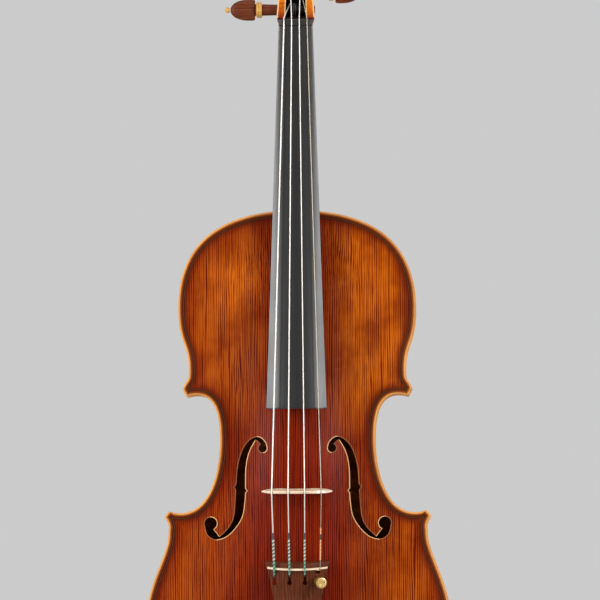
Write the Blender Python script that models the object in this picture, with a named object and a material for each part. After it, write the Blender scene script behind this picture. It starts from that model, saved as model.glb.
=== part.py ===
"""A viola of the 16 inch pattern at its real size, in metres.

The instrument stands upright: +Z runs up the neck to the scroll, the front faces -Y
and the treble side is +X. The origin is on the flat end of the end button, on the
button's axis, half way through the height of the ribs.
"""

import math

import bmesh
import bpy
from mathutils import Matrix, Vector

# Body outline. Heights are shares of the body's length, measured from its top edge.
BODY_LENGTH = 0.408
UPPER_BOUT = 0.1893
UPPER_BOUT_AT = 0.189
UPPER_NARROW = 0.1727
UPPER_NARROW_AT = 0.311
UPPER_CORNER = 0.1824
UPPER_CORNER_AT = 0.346
UPPER_CORNER_DEPTH = 0.0071
WAIST = 0.1235
WAIST_AT = 0.4487
LOWER_CORNER = 0.2114
LOWER_CORNER_AT = 0.599
LOWER_CORNER_DEPTH = 0.005
LOWER_NARROW = 0.2063
LOWER_NARROW_AT = 0.631
LOWER_BOUT = 0.2436
LOWER_BOUT_AT = 0.8154
CORNER_INSET = 0.003

# Plates and ribs
RIB_HEIGHT = 0.038
RIB_THICKNESS = 0.0012
OVERHANG = 0.003
EDGE_THICKNESS = 0.0045
CHANNEL_THICKNESS = 0.0036
CHANNEL_INSET = 0.0065
PLATE_THICKNESS = 0.003
TOP_ARCH = 0.0175
BACK_ARCH = 0.017
LINING_HEIGHT = 0.0075
LINING_THICKNESS = 0.002
BUTTON_PROTRUSION = 0.014

# Blocks, bass bar and soundpost
BLOCK_HALF_WIDTH = 0.027
NECK_BLOCK_DEPTH = 0.020
END_BLOCK_DEPTH = 0.017
CORNER_BLOCK = 0.026
BAR_LENGTH = 0.300
BAR_HEIGHT = 0.0125
BAR_END_HEIGHT = 0.003
BAR_WIDTH = 0.006
BAR_X = -0.0185
POST_X = 0.0185
POST_BELOW_BRIDGE = 0.006
SOUNDPOST_RADIUS = 0.00325

# Eyes of the treble f-hole, from the middle line and the bridge's line
F_UPPER_EYE = (0.0276, 0.0344)
F_UPPER_EYE_RADIUS = 0.0034
F_LOWER_EYE = (0.0694, -0.0253)
F_LOWER_EYE_RADIUS = 0.005
F_NICK = 0.0016

# Stop, neck and strings
BODY_STOP = 0.224
NECK_LENGTH = 0.1471
OVERSTAND = 0.008
NECK_SLOPE = 0.0978
NECK_THICKNESS = 0.0125
HEEL_RADIUS = 0.012
ROOT_DEPTH = 0.0105
BOARD_LENGTH = 0.306
BOARD_WIDTH_AT_NUT = 0.0272
BOARD_WIDTH_AT_END = 0.048
BOARD_EDGE = 0.0055
BOARD_RADIUS = 0.042
BOARD_HOLLOW = 0.004
NUT_LENGTH = 0.0058
NUT_HEIGHT = 0.0008
NUT_SPREAD = 0.0185
BRIDGE_SPREAD = 0.0393
BRIDGE_TOP = 0.037
BRIDGE_RADIUS = 0.042
BRIDGE_TILT = 0.038
BRIDGE_WIDTH = 0.0565
BRIDGE_FOOT = 0.0046
BRIDGE_CREST = 0.0018
HEART_RADIUS = 0.0021
KIDNEY_RADIUS = 0.0042

# Pegbox and scroll
PEGBOX_WIDTH = 0.0304
PEGBOX_TOP_WIDTH = 0.0195
PEGBOX_HOLLOW = 0.0166
PEGBOX_HOLLOW_TOP = 0.0102
PEGBOX_LENGTH = 0.0718
PEGBOX_LEAN = 0.30
PEGBOX_FLOOR = 0.0065
CHEEK_STEP = 0.0022
PEGBOX_CHIN = 0.0160
BACK_LEAN = 0.215
VOLUTE_RADIUS = 0.021
VOLUTE_RISE = 0.020
EYE_WIDTH = 0.044
FIRST_PEG = 0.0135
PEG_SPACING = 0.0137
PEG_SEAT = 0.0095
PEG_RADIUS = 0.0043
PEG_TIP_RADIUS = 0.0035
PEG_HEAD_LENGTH = 0.0195
PEG_HEAD_HEIGHT = 0.017
PEG_HEAD_THICKNESS = 0.0078
PEG_REACH = 0.0179
COLLAR_RADIUS = 0.0066
COLLAR_LENGTH = 0.0045
PIP_RADIUS = 0.0021
PIP_LENGTH = 0.0040

# Tailpiece and its fittings
TAILPIECE_LENGTH = 0.1245
TAILPIECE_AT = 0.0145
TAILPIECE_WIDTH = 0.0515
TAILPIECE_MIDDLE = 0.0362
TAILPIECE_END = 0.020
TAILPIECE_RADIUS = 0.036
TAILPIECE_EDGE = 0.0035
TAILPIECE_RISE = 0.008
TAILPIECE_HOLLOW = 0.0045
TAILPIECE_FRET_AT = 0.0047
STRING_HOLES_AT = 0.0170
STRING_HOLE_RADIUS = 0.0018
STRING_SLOT_LENGTH = 0.0075
STRING_SLOT_HALF_WIDTH = 0.00095
STRING_ENTRY = 0.0048
FRET_SPREAD = 0.93 * BRIDGE_SPREAD
FRET_WIDTH = 0.0016
FRET_HEIGHT = 0.0022
SADDLE_WIDTH = 0.036
SADDLE_HEIGHT = 0.0052
SADDLE_DEPTH = 0.0072
SADDLE_OVERLAP = 0.0003
GUT_RADIUS = 0.001
GUT_SPREAD = 0.0096
GUT_HOLE_DEPTH = 0.012
BUTTON_RADIUS = 0.0075
BUTTON_PIN_RADIUS = 0.004
TUNER_X = 0.0164
TUNER_BELOW_TOP = 0.0158
TUNER_LEAN = 18
TUNER_KNOB_RADIUS = 0.00455
TUNER_KNOB_HEIGHT = 0.0042
TUNER_KNOB_AT = 0.0058
TUNER_SCREW_RADIUS = 0.0012
TUNER_SLEEVE_RADIUS = 0.0026
TUNER_COLLAR_RADIUS = 0.004
TUNER_COLLAR_HEIGHT = 0.002
TUNER_FRAME_AT = 0.0076
TUNER_FRAME_THICKNESS = 0.001
TUNER_FRAME_HALF_WIDTH = 0.0034
TUNER_LEVER_HALF_WIDTH = 0.0014
TUNER_LEVER_THICKNESS = 0.0012
TUNER_ARM = 0.0094
TUNER_PIVOT_DEPTH = 0.0096
TUNER_PIN_RADIUS = 0.0006
TUNER_HOOK_HEIGHT = 0.0019
TUNER_HOOK_SWING_IN = 0.0022
TUNER_HOOK_SWING_OUT = 0.0005
TUNER_EAR = 0.0032
TUNER_ARM_TOP = 0.0003

# Fits and facets
GAP = 0.0003
ARCH_GAP = 0.0006
RUNNING = 0.0003
WINDING_TURNS = 3
WINDING_POINTS = 24
WINDING_GAP = 0.00055
ROUND = 20

STRINGS = (("c", 0.00058), ("g", 0.0005), ("d", 0.00042), ("a", 0.00034))
TUNED_STRING = "a"

# Places that follow from the sizes
BODY_BOTTOM = BUTTON_PROTRUSION - OVERHANG
BODY_TOP = BODY_BOTTOM + BODY_LENGTH
HALF_RIB = RIB_HEIGHT / 2
BRIDGE_Z = BODY_TOP - BODY_STOP
NUT_Z = BODY_TOP + NECK_LENGTH
BOARD_END_Z = NUT_Z - BOARD_LENGTH
PEGBOX_Z = NUT_Z + NUT_LENGTH + 2 * GAP
TAILPIECE_TOP_Z = TAILPIECE_AT + TAILPIECE_LENGTH

SPRUCE = (0.55, 0.20, 0.05)
MAPLE = (0.42, 0.13, 0.035)
EBONY = (0.02, 0.018, 0.017)
ROSEWOOD = (0.14, 0.045, 0.03)
BOXWOOD = (0.68, 0.42, 0.16)
PLAIN_MAPLE = (0.70, 0.52, 0.32)
WILLOW = (0.66, 0.52, 0.36)
BONE = (0.85, 0.80, 0.68)
STEEL = (0.72, 0.72, 0.70)
BRASS = (0.80, 0.60, 0.25)
NYLON = (0.03, 0.03, 0.03)


def clear_scene():
    for obj in list(bpy.data.objects):
        bpy.data.objects.remove(obj, do_unlink=True)


def material(name, colour, roughness=0.4, metallic=0.0):
    made = bpy.data.materials.new(name)
    made.use_nodes = True
    shader = made.node_tree.nodes["Principled BSDF"]
    shader.inputs["Base Color"].default_value = (*colour, 1.0)
    shader.inputs["Roughness"].default_value = roughness
    shader.inputs["Metallic"].default_value = metallic
    made.diffuse_color = (*colour, 1.0)
    return made


def add_object(name, mesh, look, origin=(0, 0, 0)):
    obj = bpy.data.objects.new(name, mesh)
    bpy.context.collection.objects.link(obj)
    if origin != (0, 0, 0):
        for vertex in mesh.vertices:
            vertex.co -= Vector(origin)
        obj.location = origin
    if look:
        mesh.materials.append(material(name, *look))
    return obj


def loft(name, rings, look=None, origin=(0, 0, 0), smooth=None):
    """A closed solid through rings of as many points each, with a flat face at each end."""
    bm = bmesh.new()
    rows = [[bm.verts.new(point) for point in ring] for ring in rings]
    count = len(rows[0])
    for low, high in zip(rows, rows[1:]):
        for i in range(count):
            j = (i + 1) % count
            bm.faces.new((low[i], low[j], high[j], high[i]))
    bm.faces.new(reversed(rows[0]))
    bm.faces.new(rows[-1])
    return finish_mesh(name, bm, look, origin, smooth)


def finish_mesh(name, bm, look, origin=(0, 0, 0), smooth=None):
    bmesh.ops.recalc_face_normals(bm, faces=bm.faces)
    mesh = bpy.data.meshes.new(name)
    bm.to_mesh(mesh)
    bm.free()
    obj = add_object(name, mesh, look, origin)
    if smooth:
        mesh.shade_smooth()
        mesh.set_sharp_from_angle(angle=math.radians(smooth))
    return obj


def prism(name, outline, low, high, axis="y", look=None, origin=(0, 0, 0)):
    """An outline of (first, second) points, raised along axis from low to high.

    low and high are numbers, or functions of the outline's two coordinates.
    """
    order = {"x": (2, 0, 1), "y": (0, 2, 1), "z": (0, 1, 2)}[axis]

    def place(point, level):
        values = (*point, level(*point) if callable(level) else level)
        return tuple(values[k] for k in order)

    rings = [[place(p, level) for p in outline] for level in (low, high)]
    return loft(name, rings, look, origin)


def disc_ring(centre, radius, axis, count=ROUND):
    """Points of a circle about the centre, in the plane square to the axis."""
    x, y, z = centre
    ring = []
    for i in range(count):
        a = 2 * math.pi * i / count
        u = radius * math.cos(a)
        v = radius * math.sin(a)
        ring.append({"x": (x, y + u, z + v), "y": (x + u, y, z + v), "z": (x + u, y + v, z)}[axis])
    return ring


def turned(name, centre, profile, axis, look=None, origin=(0, 0, 0), count=ROUND):
    """A turned piece from (place along the axis, radius) pairs."""
    step = {"x": (1, 0, 0), "y": (0, 1, 0), "z": (0, 0, 1)}[axis]
    rings = []
    for along, radius in profile:
        middle = tuple(c + s * along for c, s in zip(centre, step))
        rings.append(disc_ring(middle, radius, axis, count))
    return loft(name, rings, look, origin, 40)


def combine(obj, other, operation):
    other.hide_render = True
    other.display_type = "WIRE"
    modifier = obj.modifiers.new(other.name, "BOOLEAN")
    modifier.operation = operation
    modifier.object = other
    modifier.solver = "EXACT"


def cut(obj, other):
    combine(obj, other, "DIFFERENCE")


def join(obj, other):
    combine(obj, other, "UNION")


def tube(name, points, radius, look, sides=1):
    """A round cord through the points, closed at both ends."""
    curve = bpy.data.curves.new(name, "CURVE")
    curve.dimensions = "3D"
    curve.bevel_depth = radius
    curve.bevel_resolution = sides
    curve.use_fill_caps = True
    line = curve.splines.new("POLY")
    line.points.add(len(points) - 1)
    for spot, point in zip(line.points, points):
        spot.co = (*point, 1.0)
    obj = bpy.data.objects.new(name, curve)
    bpy.context.collection.objects.link(obj)
    curve.materials.append(material(name, *look))
    return obj


# Outline of the body
def bezier(start, out, into, end, steps):
    """Points of one stretch, without its last. The handles are offsets from the ends."""
    second = (start[0] + out[0], start[1] + out[1])
    third = (end[0] + into[0], end[1] + into[1])
    points = []
    for i in range(steps):
        t = i / steps
        weights = ((1 - t) ** 3, 3 * t * (1 - t) ** 2, 3 * t * t * (1 - t), t**3)
        corners = (start, second, third, end)
        points.append(tuple(sum(w * c[k] for w, c in zip(weights, corners)) for k in (0, 1)))
    return points


def at_depth(width, share):
    return (width / 2, BODY_TOP - share * BODY_LENGTH)


def side_stretches():
    """The treble side of the outline as three stretches, each ending at a corner."""
    top = (0.0, BODY_TOP)
    upper = at_depth(UPPER_BOUT, UPPER_BOUT_AT)
    narrow = at_depth(UPPER_NARROW, UPPER_NARROW_AT)
    corner = at_depth(UPPER_CORNER, UPPER_CORNER_AT)
    under = (corner[0] - CORNER_INSET, corner[1] - UPPER_CORNER_DEPTH)
    waist = at_depth(WAIST, WAIST_AT)
    tip = at_depth(LOWER_CORNER, LOWER_CORNER_AT)
    over = (tip[0] - CORNER_INSET, tip[1] + LOWER_CORNER_DEPTH)
    low_narrow = at_depth(LOWER_NARROW, LOWER_NARROW_AT)
    lower = at_depth(LOWER_BOUT, LOWER_BOUT_AT)
    bottom = (0.0, BODY_BOTTOM)

    rise = top[1] - upper[1]
    first = bezier(top, (0.68 * upper[0], 0), (0, 0.63 * rise), upper, 8)
    drop = upper[1] - narrow[1]
    first += bezier(upper, (0, -0.6 * drop), (0, 0.43 * drop), narrow, 4)
    flare = narrow[1] - corner[1]
    first += bezier(narrow, (0, -0.68 * flare), (-0.27 * flare, 0.59 * flare), corner, 2)
    first.append(corner)

    run = under[0] - waist[0]
    fall = under[1] - waist[1]
    middle = bezier(under, (-0.86 * run, 0.19 * fall), (0, 0.61 * fall), waist, 5)
    run = over[0] - waist[0]
    fall = waist[1] - over[1]
    middle += bezier(waist, (0, -0.46 * fall), (-0.76 * run, -0.18 * fall), over, 6)
    middle.append(over)

    flare = tip[1] - low_narrow[1]
    last = bezier(tip, (-0.34 * flare, -0.6 * flare), (0, 0.39 * flare), low_narrow, 2)
    drop = low_narrow[1] - lower[1]
    last += bezier(low_narrow, (0, -0.23 * drop), (0, 0.47 * drop), lower, 4)
    rise = lower[1] - bottom[1]
    last += bezier(lower, (0, -0.60 * rise), (0.53 * lower[0], 0), bottom, 8)
    last.append(bottom)
    return first, middle, last


def normals_into_body(points):
    """Unit normals on the body's side of a stretch that runs down the treble side."""
    normals = []
    for i in range(len(points)):
        before = points[max(i - 1, 0)]
        after = points[min(i + 1, len(points) - 1)]
        if abs(points[i][0]) < 1e-9:
            normals.append((0.0, -1.0 if points[i][1] > BRIDGE_Z else 1.0))
            continue
        dx = after[0] - before[0]
        dz = after[1] - before[1]
        length = math.hypot(dx, dz)
        normals.append((dz / length, -dx / length))
    return normals


def inset(points, normals, distance):
    return [(p[0] + n[0] * distance, p[1] + n[1] * distance) for p, n in zip(points, normals)]


def mirrored(points):
    return [(-x, z) for x, z in points]


# Arching of the plates
def blend(start, end, share):
    return start + (end - start) * 0.5 * (1 - math.cos(math.pi * min(max(share, 0), 1)))


def arch_half_width(z):
    """Half the width of the arched part at this height."""
    share = (BODY_TOP - z) / BODY_LENGTH
    edge = CHANNEL_INSET + 0.0015
    if share < WAIST_AT:
        width = blend(UPPER_BOUT, WAIST, (share - UPPER_BOUT_AT) / (WAIST_AT - UPPER_BOUT_AT))
    else:
        width = blend(WAIST, LOWER_BOUT, (share - WAIST_AT) / (LOWER_BOUT_AT - WAIST_AT))
    return width / 2 - edge


def arch(x, z, rise):
    """Height of the arch above the channel: a cosine across, and flatter along."""
    along = abs(2 * (z - BODY_BOTTOM) / BODY_LENGTH - 1)
    along *= BODY_LENGTH / (BODY_LENGTH - 2 * CHANNEL_INSET)
    across = abs(x) / arch_half_width(z)
    reach = min(math.sqrt(across**2 + along**6), 1)
    return rise * 0.5 * (1 + math.cos(math.pi * reach))


def outer_height(x, z, rise):
    """Height of a plate's outer face above its glued face."""
    return CHANNEL_THICKNESS + arch(x, z, rise - CHANNEL_THICKNESS)


def inner_height(x, z, rise):
    return max(outer_height(x, z, rise) - PLATE_THICKNESS, 0)


def top_surface(x, z):
    return -HALF_RIB - outer_height(x, z, TOP_ARCH)


def plate(name, side, rise, look):
    """An arched plate with a rounded edge, a channel and a hollow inside.

    side is -1 for the front and 1 for the back. Rings follow the outline inwards and
    close on a spine along the middle.
    """
    stretches = side_stretches()
    outline = [p for stretch in stretches for p in stretch]
    normals = [n for stretch in stretches for n in normals_into_body(stretch)]
    count = len(outline)
    spine_reach = 0.4 * UPPER_BOUT
    high = BODY_TOP - spine_reach
    low = BODY_BOTTOM + 0.4 * LOWER_BOUT
    spine = [(0.0, high + (low - high) * i / (count - 1)) for i in range(count)]

    bm = bmesh.new()

    def ring(points, level):
        made = []
        for x, z in points:
            made.append(bm.verts.new((x, side * (HALF_RIB + level(x, z)), z)))
        back = [bm.verts.new((-v.co.x, v.co.y, v.co.z)) for v in reversed(made[1:-1])]
        return made + back

    def flat(value):
        return lambda x, z: value

    def stitch(one, two):
        total = len(one)
        for i in range(total):
            j = (i + 1) % total
            corners = [one[i], one[j], two[j], two[i]]
            corners = [v for k, v in enumerate(corners) if v not in corners[:k]]
            if len(corners) > 2:
                bm.faces.new(corners)

    def inner_rings(start, level, shares):
        rows = []
        for share in shares:
            points = []
            for p, s in zip(start, spine):
                points.append((s[0] + (p[0] - s[0]) * share, s[1] + (p[1] - s[1]) * share))
            rows.append(ring(points, level))
        made = [bm.verts.new((x, side * (HALF_RIB + level(x, z)), z)) for x, z in spine]
        rows.append(made + list(reversed(made[1:-1])))
        return rows

    def outer(x, z):
        return outer_height(x, z, rise)

    def inner(x, z):
        return inner_height(x, z, rise)

    rounding = 0.2 * EDGE_THICKNESS
    rows = []
    channel = inset(outline, normals, CHANNEL_INSET)
    rows.extend(reversed(inner_rings(channel, outer, (0.8, 0.6, 0.4, 0.2))))
    rows.append(ring(channel, outer))
    edge = ((2.8, 1.0), (1.0, 1.0), (0, 0.74), (0, 0.26), (1.0, 0))
    for distance, share in edge:
        points = inset(outline, normals, distance * rounding)
        rows.append(ring(points, flat(share * EDGE_THICKNESS)))
    glued = OVERHANG + RIB_THICKNESS + LINING_THICKNESS + GAP
    seat = inset(outline, normals, glued)
    rows.append(ring(seat, flat(0)))
    rows.extend(inner_rings(seat, inner, (0.8, 0.6, 0.4, 0.2)))
    for one, two in zip(rows, rows[1:]):
        stitch(one, two)
    bmesh.ops.remove_doubles(bm, verts=bm.verts, dist=1e-7)
    return finish_mesh(name, bm, look, smooth=35)


# Strips that follow the outline: ribs and linings
def strip(name, points, normals, near, far, low, high, look):
    """A strip along the outline between two insets, from low to high in y."""
    inner = inset(points, normals, far)
    outer = inset(points, normals, near)
    rings = []
    for (ax, az), (bx, bz) in zip(outer, inner):
        rings.append([(ax, low, az), (bx, low, bz), (bx, high, bz), (ax, high, az)])
    return loft(name, rings, look)


def along(points, start, end):
    """The part of a stretch between two lengths measured from its start."""
    lengths = [0.0]
    for one, two in zip(points, points[1:]):
        lengths.append(lengths[-1] + math.dist(one, two))

    def spot(length):
        for i in range(1, len(points)):
            if length <= lengths[i]:
                share = (length - lengths[i - 1]) / (lengths[i] - lengths[i - 1])
                one, two = points[i - 1], points[i]
                return (one[0] + (two[0] - one[0]) * share, one[1] + (two[1] - one[1]) * share)
        return points[-1]

    middle = [p for p, s in zip(points, lengths) if start < s < end]
    return [spot(start), *middle, spot(end)]


def total_length(points):
    return sum(math.dist(one, two) for one, two in zip(points, points[1:]))


def clear_corner(above, below, distance):
    """Shortens two stretches that meet at a corner until they clear each other when inset."""
    trim = 0.0
    while True:
        whole = total_length(above)
        one = along(above, 0, whole - trim)
        two = along(below, trim, total_length(below))
        end = inset(one, normals_into_body(one), distance)[-1]
        start = inset(two, normals_into_body(two), distance)[0]
        across = (two[0][0] - one[-1][0], two[0][1] - one[-1][1])
        step = (start[0] - end[0], start[1] - end[1])
        apart = (step[0] * across[0] + step[1] * across[1]) / math.hypot(*across)
        if apart >= 2 * GAP:
            return one, two
        trim += GAP


def cleared_stretches(distance):
    """The treble side's stretches, shortened at both corners for pieces at this inset."""
    first, middle, last = side_stretches()
    first, middle = clear_corner(first, middle, distance)
    middle, last = clear_corner(middle, last, distance)
    return first, middle, last


def make_ribs():
    look = (MAPLE, 0.3)
    first, middle, last = cleared_stretches(OVERHANG + RIB_THICKNESS)
    height = HALF_RIB - GAP
    ribs = {}
    for stretch, name in ((first, "rib_upper"), (middle, "rib_waist")):
        points = along(stretch, GAP, total_length(stretch)) if stretch is first else stretch
        normals = normals_into_body(points)
        far = OVERHANG + RIB_THICKNESS
        for side, flip in (("treble", 1), ("bass", -1)):
            rib = strip(
                f"{name}_{side}",
                [(flip * x, z) for x, z in points],
                [(flip * x, z) for x, z in normals],
                OVERHANG,
                far,
                -height,
                height,
                look,
            )
            ribs[rib.name] = rib
    normals = normals_into_body(last)
    points = mirrored(last[:-1]) + list(reversed(last))
    turned_normals = mirrored(normals[:-1]) + list(reversed(normals))
    rib = strip(
        "rib_lower",
        points,
        turned_normals,
        OVERHANG,
        OVERHANG + RIB_THICKNESS,
        -height,
        height,
        look,
    )
    ribs[rib.name] = rib
    return ribs


def make_linings():
    """Willow strips inside the ribs at both plates, between the blocks."""
    look = (WILLOW, 0.6)
    near = OVERHANG + RIB_THICKNESS + GAP
    first, middle, last = cleared_stretches(near)
    far = near + LINING_THICKNESS
    low = HALF_RIB - GAP - LINING_HEIGHT
    high = HALF_RIB - GAP
    corner = CORNER_BLOCK + 0.9 * LINING_THICKNESS
    upper = along(first, BLOCK_HALF_WIDTH + 0.002, total_length(first) - corner)
    waist = along(middle, corner, total_length(middle) - corner)
    lower = along(last, corner, total_length(last) - BLOCK_HALF_WIDTH - 0.002)
    for points, name in ((upper, "upper"), (waist, "waist"), (lower, "lower")):
        normals = normals_into_body(points)
        for side, flip in (("treble", 1), ("bass", -1)):
            path = [(flip * x, z) for x, z in points]
            turned_normals = [(flip * x, z) for x, z in normals]
            strip(f"lining_front_{name}_{side}", path, turned_normals, near, far, -high, -low, look)
            strip(f"lining_back_{name}_{side}", path, turned_normals, near, far, low, high, look)


# Blocks inside the ribs
def end_of_stretch(points, length, from_start):
    whole = total_length(points)
    return along(points, 0, length) if from_start else along(points, whole - length, whole)


def make_blocks():
    look = (WILLOW, 0.6)
    near = OVERHANG + RIB_THICKNESS + GAP
    first, middle, last = cleared_stretches(near)
    high = HALF_RIB - GAP
    blocks = {}

    def block(name, outline):
        blocks[name] = prism(name, outline, -high, high, "y", look)

    ends = (
        ("neck_block", first, True, BODY_TOP - near - NECK_BLOCK_DEPTH),
        ("end_block", last, False, BODY_BOTTOM + near + END_BLOCK_DEPTH),
    )
    for name, stretch, from_start, face in ends:
        points = end_of_stretch(stretch, BLOCK_HALF_WIDTH, from_start)
        curve = inset(points, normals_into_body(points), near)
        if not from_start:
            curve = list(reversed(curve))
        half = curve[-1][0]
        outline = mirrored(list(reversed(curve)))[:-1] + curve + [(half, face), (-half, face)]
        block(name, outline)

    joints = (("upper", first, middle), ("lower", middle, last))
    for name, above, below in joints:
        one = end_of_stretch(above, CORNER_BLOCK, False)
        two = end_of_stretch(below, CORNER_BLOCK, True)
        curve = inset(one, normals_into_body(one), near)
        curve += inset(two, normals_into_body(two), near)
        for side, flip in (("treble", 1), ("bass", -1)):
            block(f"corner_block_{name}_{side}", [(flip * x, z) for x, z in curve])
    return blocks


# Bass bar and soundpost
def make_bass_bar():
    rings = []
    steps = 12
    middle = (BODY_TOP + BODY_BOTTOM) / 2
    for i in range(steps + 1):
        share = 2 * i / steps - 1
        z = middle + share * BAR_LENGTH / 2
        height = BAR_END_HEIGHT + (BAR_HEIGHT - BAR_END_HEIGHT) * (1 - share**2)
        ring = []
        for x in (BAR_X - BAR_WIDTH / 2, BAR_X + BAR_WIDTH / 2):
            ring.append((x, -HALF_RIB - inner_height(x, z, TOP_ARCH) + ARCH_GAP, z))
        face = max(ring[0][1], ring[1][1]) + height
        ring += [(ring[1][0], face, z), (ring[0][0], face, z)]
        rings.append(ring)
    loft("bass_bar", rings, (SPRUCE, 0.6))


def make_soundpost():
    z = BRIDGE_Z - POST_BELOW_BRIDGE
    circle = disc_ring((POST_X, 0, z), SOUNDPOST_RADIUS, "y", 16)
    front = [(x, -HALF_RIB - inner_height(x, h, TOP_ARCH) + ARCH_GAP, h) for x, _, h in circle]
    back = [(x, HALF_RIB + inner_height(x, h, BACK_ARCH) - ARCH_GAP, h) for x, _, h in circle]
    loft("soundpost", [front, back], (WILLOW, 0.6))


# Openings in the top plate
def spline(points, steps):
    """A smooth curve through the points, as a list without the last of them."""
    padded = [points[0], *points, points[-1]]
    made = []
    for i in range(1, len(padded) - 2):
        p0, p1, p2, p3 = padded[i - 1 : i + 3]
        for step in range(steps):
            t = step / steps
            value = []
            for k in range(len(p1)):
                slope = (p2[k] - p0[k]) / 2
                next_slope = (p3[k] - p1[k]) / 2
                a = 2 * t**3 - 3 * t**2 + 1
                b = t**3 - 2 * t**2 + t
                c = -2 * t**3 + 3 * t**2
                d = t**3 - t**2
                value.append(a * p1[k] + b * slope + c * p2[k] + d * next_slope)
            made.append(tuple(value))
    return made


def arc(centre, radius, start, end, steps):
    """Points of an arc between two angles in degrees, both ends included."""
    points = []
    for i in range(steps + 1):
        a = math.radians(start + (end - start) * i / steps)
        points.append((centre[0] + radius * math.cos(a), centre[1] + radius * math.sin(a)))
    return points


def f_hole_outline():
    """The treble f-hole, with heights measured from the bridge's line."""
    outer_side = [
        (0.0252, 0.0385),
        (0.0282, 0.0420),
        (0.0325, 0.0434),
        (0.0385, 0.0405),
        (0.0438, 0.0330),
        (0.0475, 0.0205),
        (0.0487, 0.0060),
    ]
    below_nick = [(0.0491, 0.0012), (0.0507, -0.0194), (0.0553, -0.0292), (0.0625, -0.0362)]
    inner_low = [
        (0.0738, -0.0287),
        (0.0722, -0.0338),
        (0.0683, -0.0372),
        (0.0634, -0.0380),
        (0.0562, -0.0352),
        (0.0494, -0.0285),
        (0.0441, -0.0194),
        (0.0421, -0.0070),
        (0.0418, -0.0012),
    ]
    above_nick = [(0.0418, 0.0022), (0.0414, 0.0188), (0.0387, 0.0315), (0.0333, 0.0415)]
    points = spline(outer_side, 2)
    points += [outer_side[-1], (0.0489 + F_NICK, 0.0036)]
    points += spline(below_nick, 2) + [below_nick[-1]]
    points += arc(F_LOWER_EYE, F_LOWER_EYE_RADIUS, 245, -20, 10)
    points += spline(inner_low, 2)[1:]
    points += [inner_low[-1], (0.0418 - F_NICK, 0.0005)]
    points += spline(above_nick, 2) + [above_nick[-1]]
    points += arc(F_UPPER_EYE, F_UPPER_EYE_RADIUS, 70, -200, 9)
    return [(x, BRIDGE_Z + z) for x, z in points]


def cut_f_holes(top):
    outline = f_hole_outline()
    for side, flip in (("treble", 1), ("bass", -1)):
        shape = [(flip * x, z) for x, z in outline]
        front = -HALF_RIB - 2 * TOP_ARCH
        cut(top, prism(f"f_hole_{side}_cutter", shape, front, -HALF_RIB + 0.004))


# Neck, fingerboard and nut
def neck_plane(z):
    """Where the fingerboard is glued to the neck."""
    front_of_edge = -HALF_RIB - EDGE_THICKNESS - OVERSTAND
    return front_of_edge + NECK_SLOPE * (z - BODY_TOP)


def board_half_width(z):
    share = (NUT_Z - z) / BOARD_LENGTH
    return (BOARD_WIDTH_AT_NUT + (BOARD_WIDTH_AT_END - BOARD_WIDTH_AT_NUT) * share) / 2


def board_top(x, z):
    half = board_half_width(z)
    crown = math.sqrt(BOARD_RADIUS**2 - x**2) - math.sqrt(BOARD_RADIUS**2 - half**2)
    return neck_plane(z) - BOARD_EDGE - crown


def neck_section(z, clearance):
    """The neck's section at one height: flat in front, round behind, and flat at the button."""
    width = board_half_width(min(max(z, BODY_TOP), NUT_Z)) - GAP + clearance
    front = neck_plane(max(z, BODY_TOP)) - clearance
    seat = HALF_RIB - GAP + clearance
    reach = seat - front
    past = z - BODY_TOP
    if past < HEEL_RADIUS:
        button = math.sqrt(HEEL_RADIUS**2 - max(past, 0) ** 2)
        depth = reach / math.sqrt(1 - (button / width) ** 2)
    else:
        depth = NECK_THICKNESS + (reach - NECK_THICKNESS) * math.exp((HEEL_RADIUS - past) / 0.006)
    depth += clearance
    ring = []
    for i in range(15):
        a = math.pi * i / 14
        ring.append((width * math.cos(a), min(front + depth * math.sin(a), seat), z))
    return ring


def neck_rings(clearance):
    heights = [BODY_TOP - ROOT_DEPTH - clearance, BODY_TOP]
    heights += [BODY_TOP + HEEL_RADIUS * share for share in (0.3, 0.55, 0.75, 0.9, 1.0)]
    heights += [BODY_TOP + HEEL_RADIUS + step for step in (0.0025, 0.006, 0.012, 0.022)]
    return heights


def pegbox_front(z):
    return neck_plane(NUT_Z) - CHEEK_STEP + PEGBOX_LEAN * (z - PEGBOX_Z)


def pegbox_back(z):
    start = neck_plane(NUT_Z) + NECK_THICKNESS + PEGBOX_CHIN
    return start + BACK_LEAN * (z - PEGBOX_Z - 0.011)


def pegbox_half(z, at_nut, at_throat):
    share = (z - PEGBOX_Z) / PEGBOX_LENGTH
    return (at_nut + (at_throat - at_nut) * share) / 2


def scroll_centre():
    z = PEGBOX_Z + PEGBOX_LENGTH + VOLUTE_RISE
    return pegbox_back(z) - VOLUTE_RADIUS, z


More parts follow.
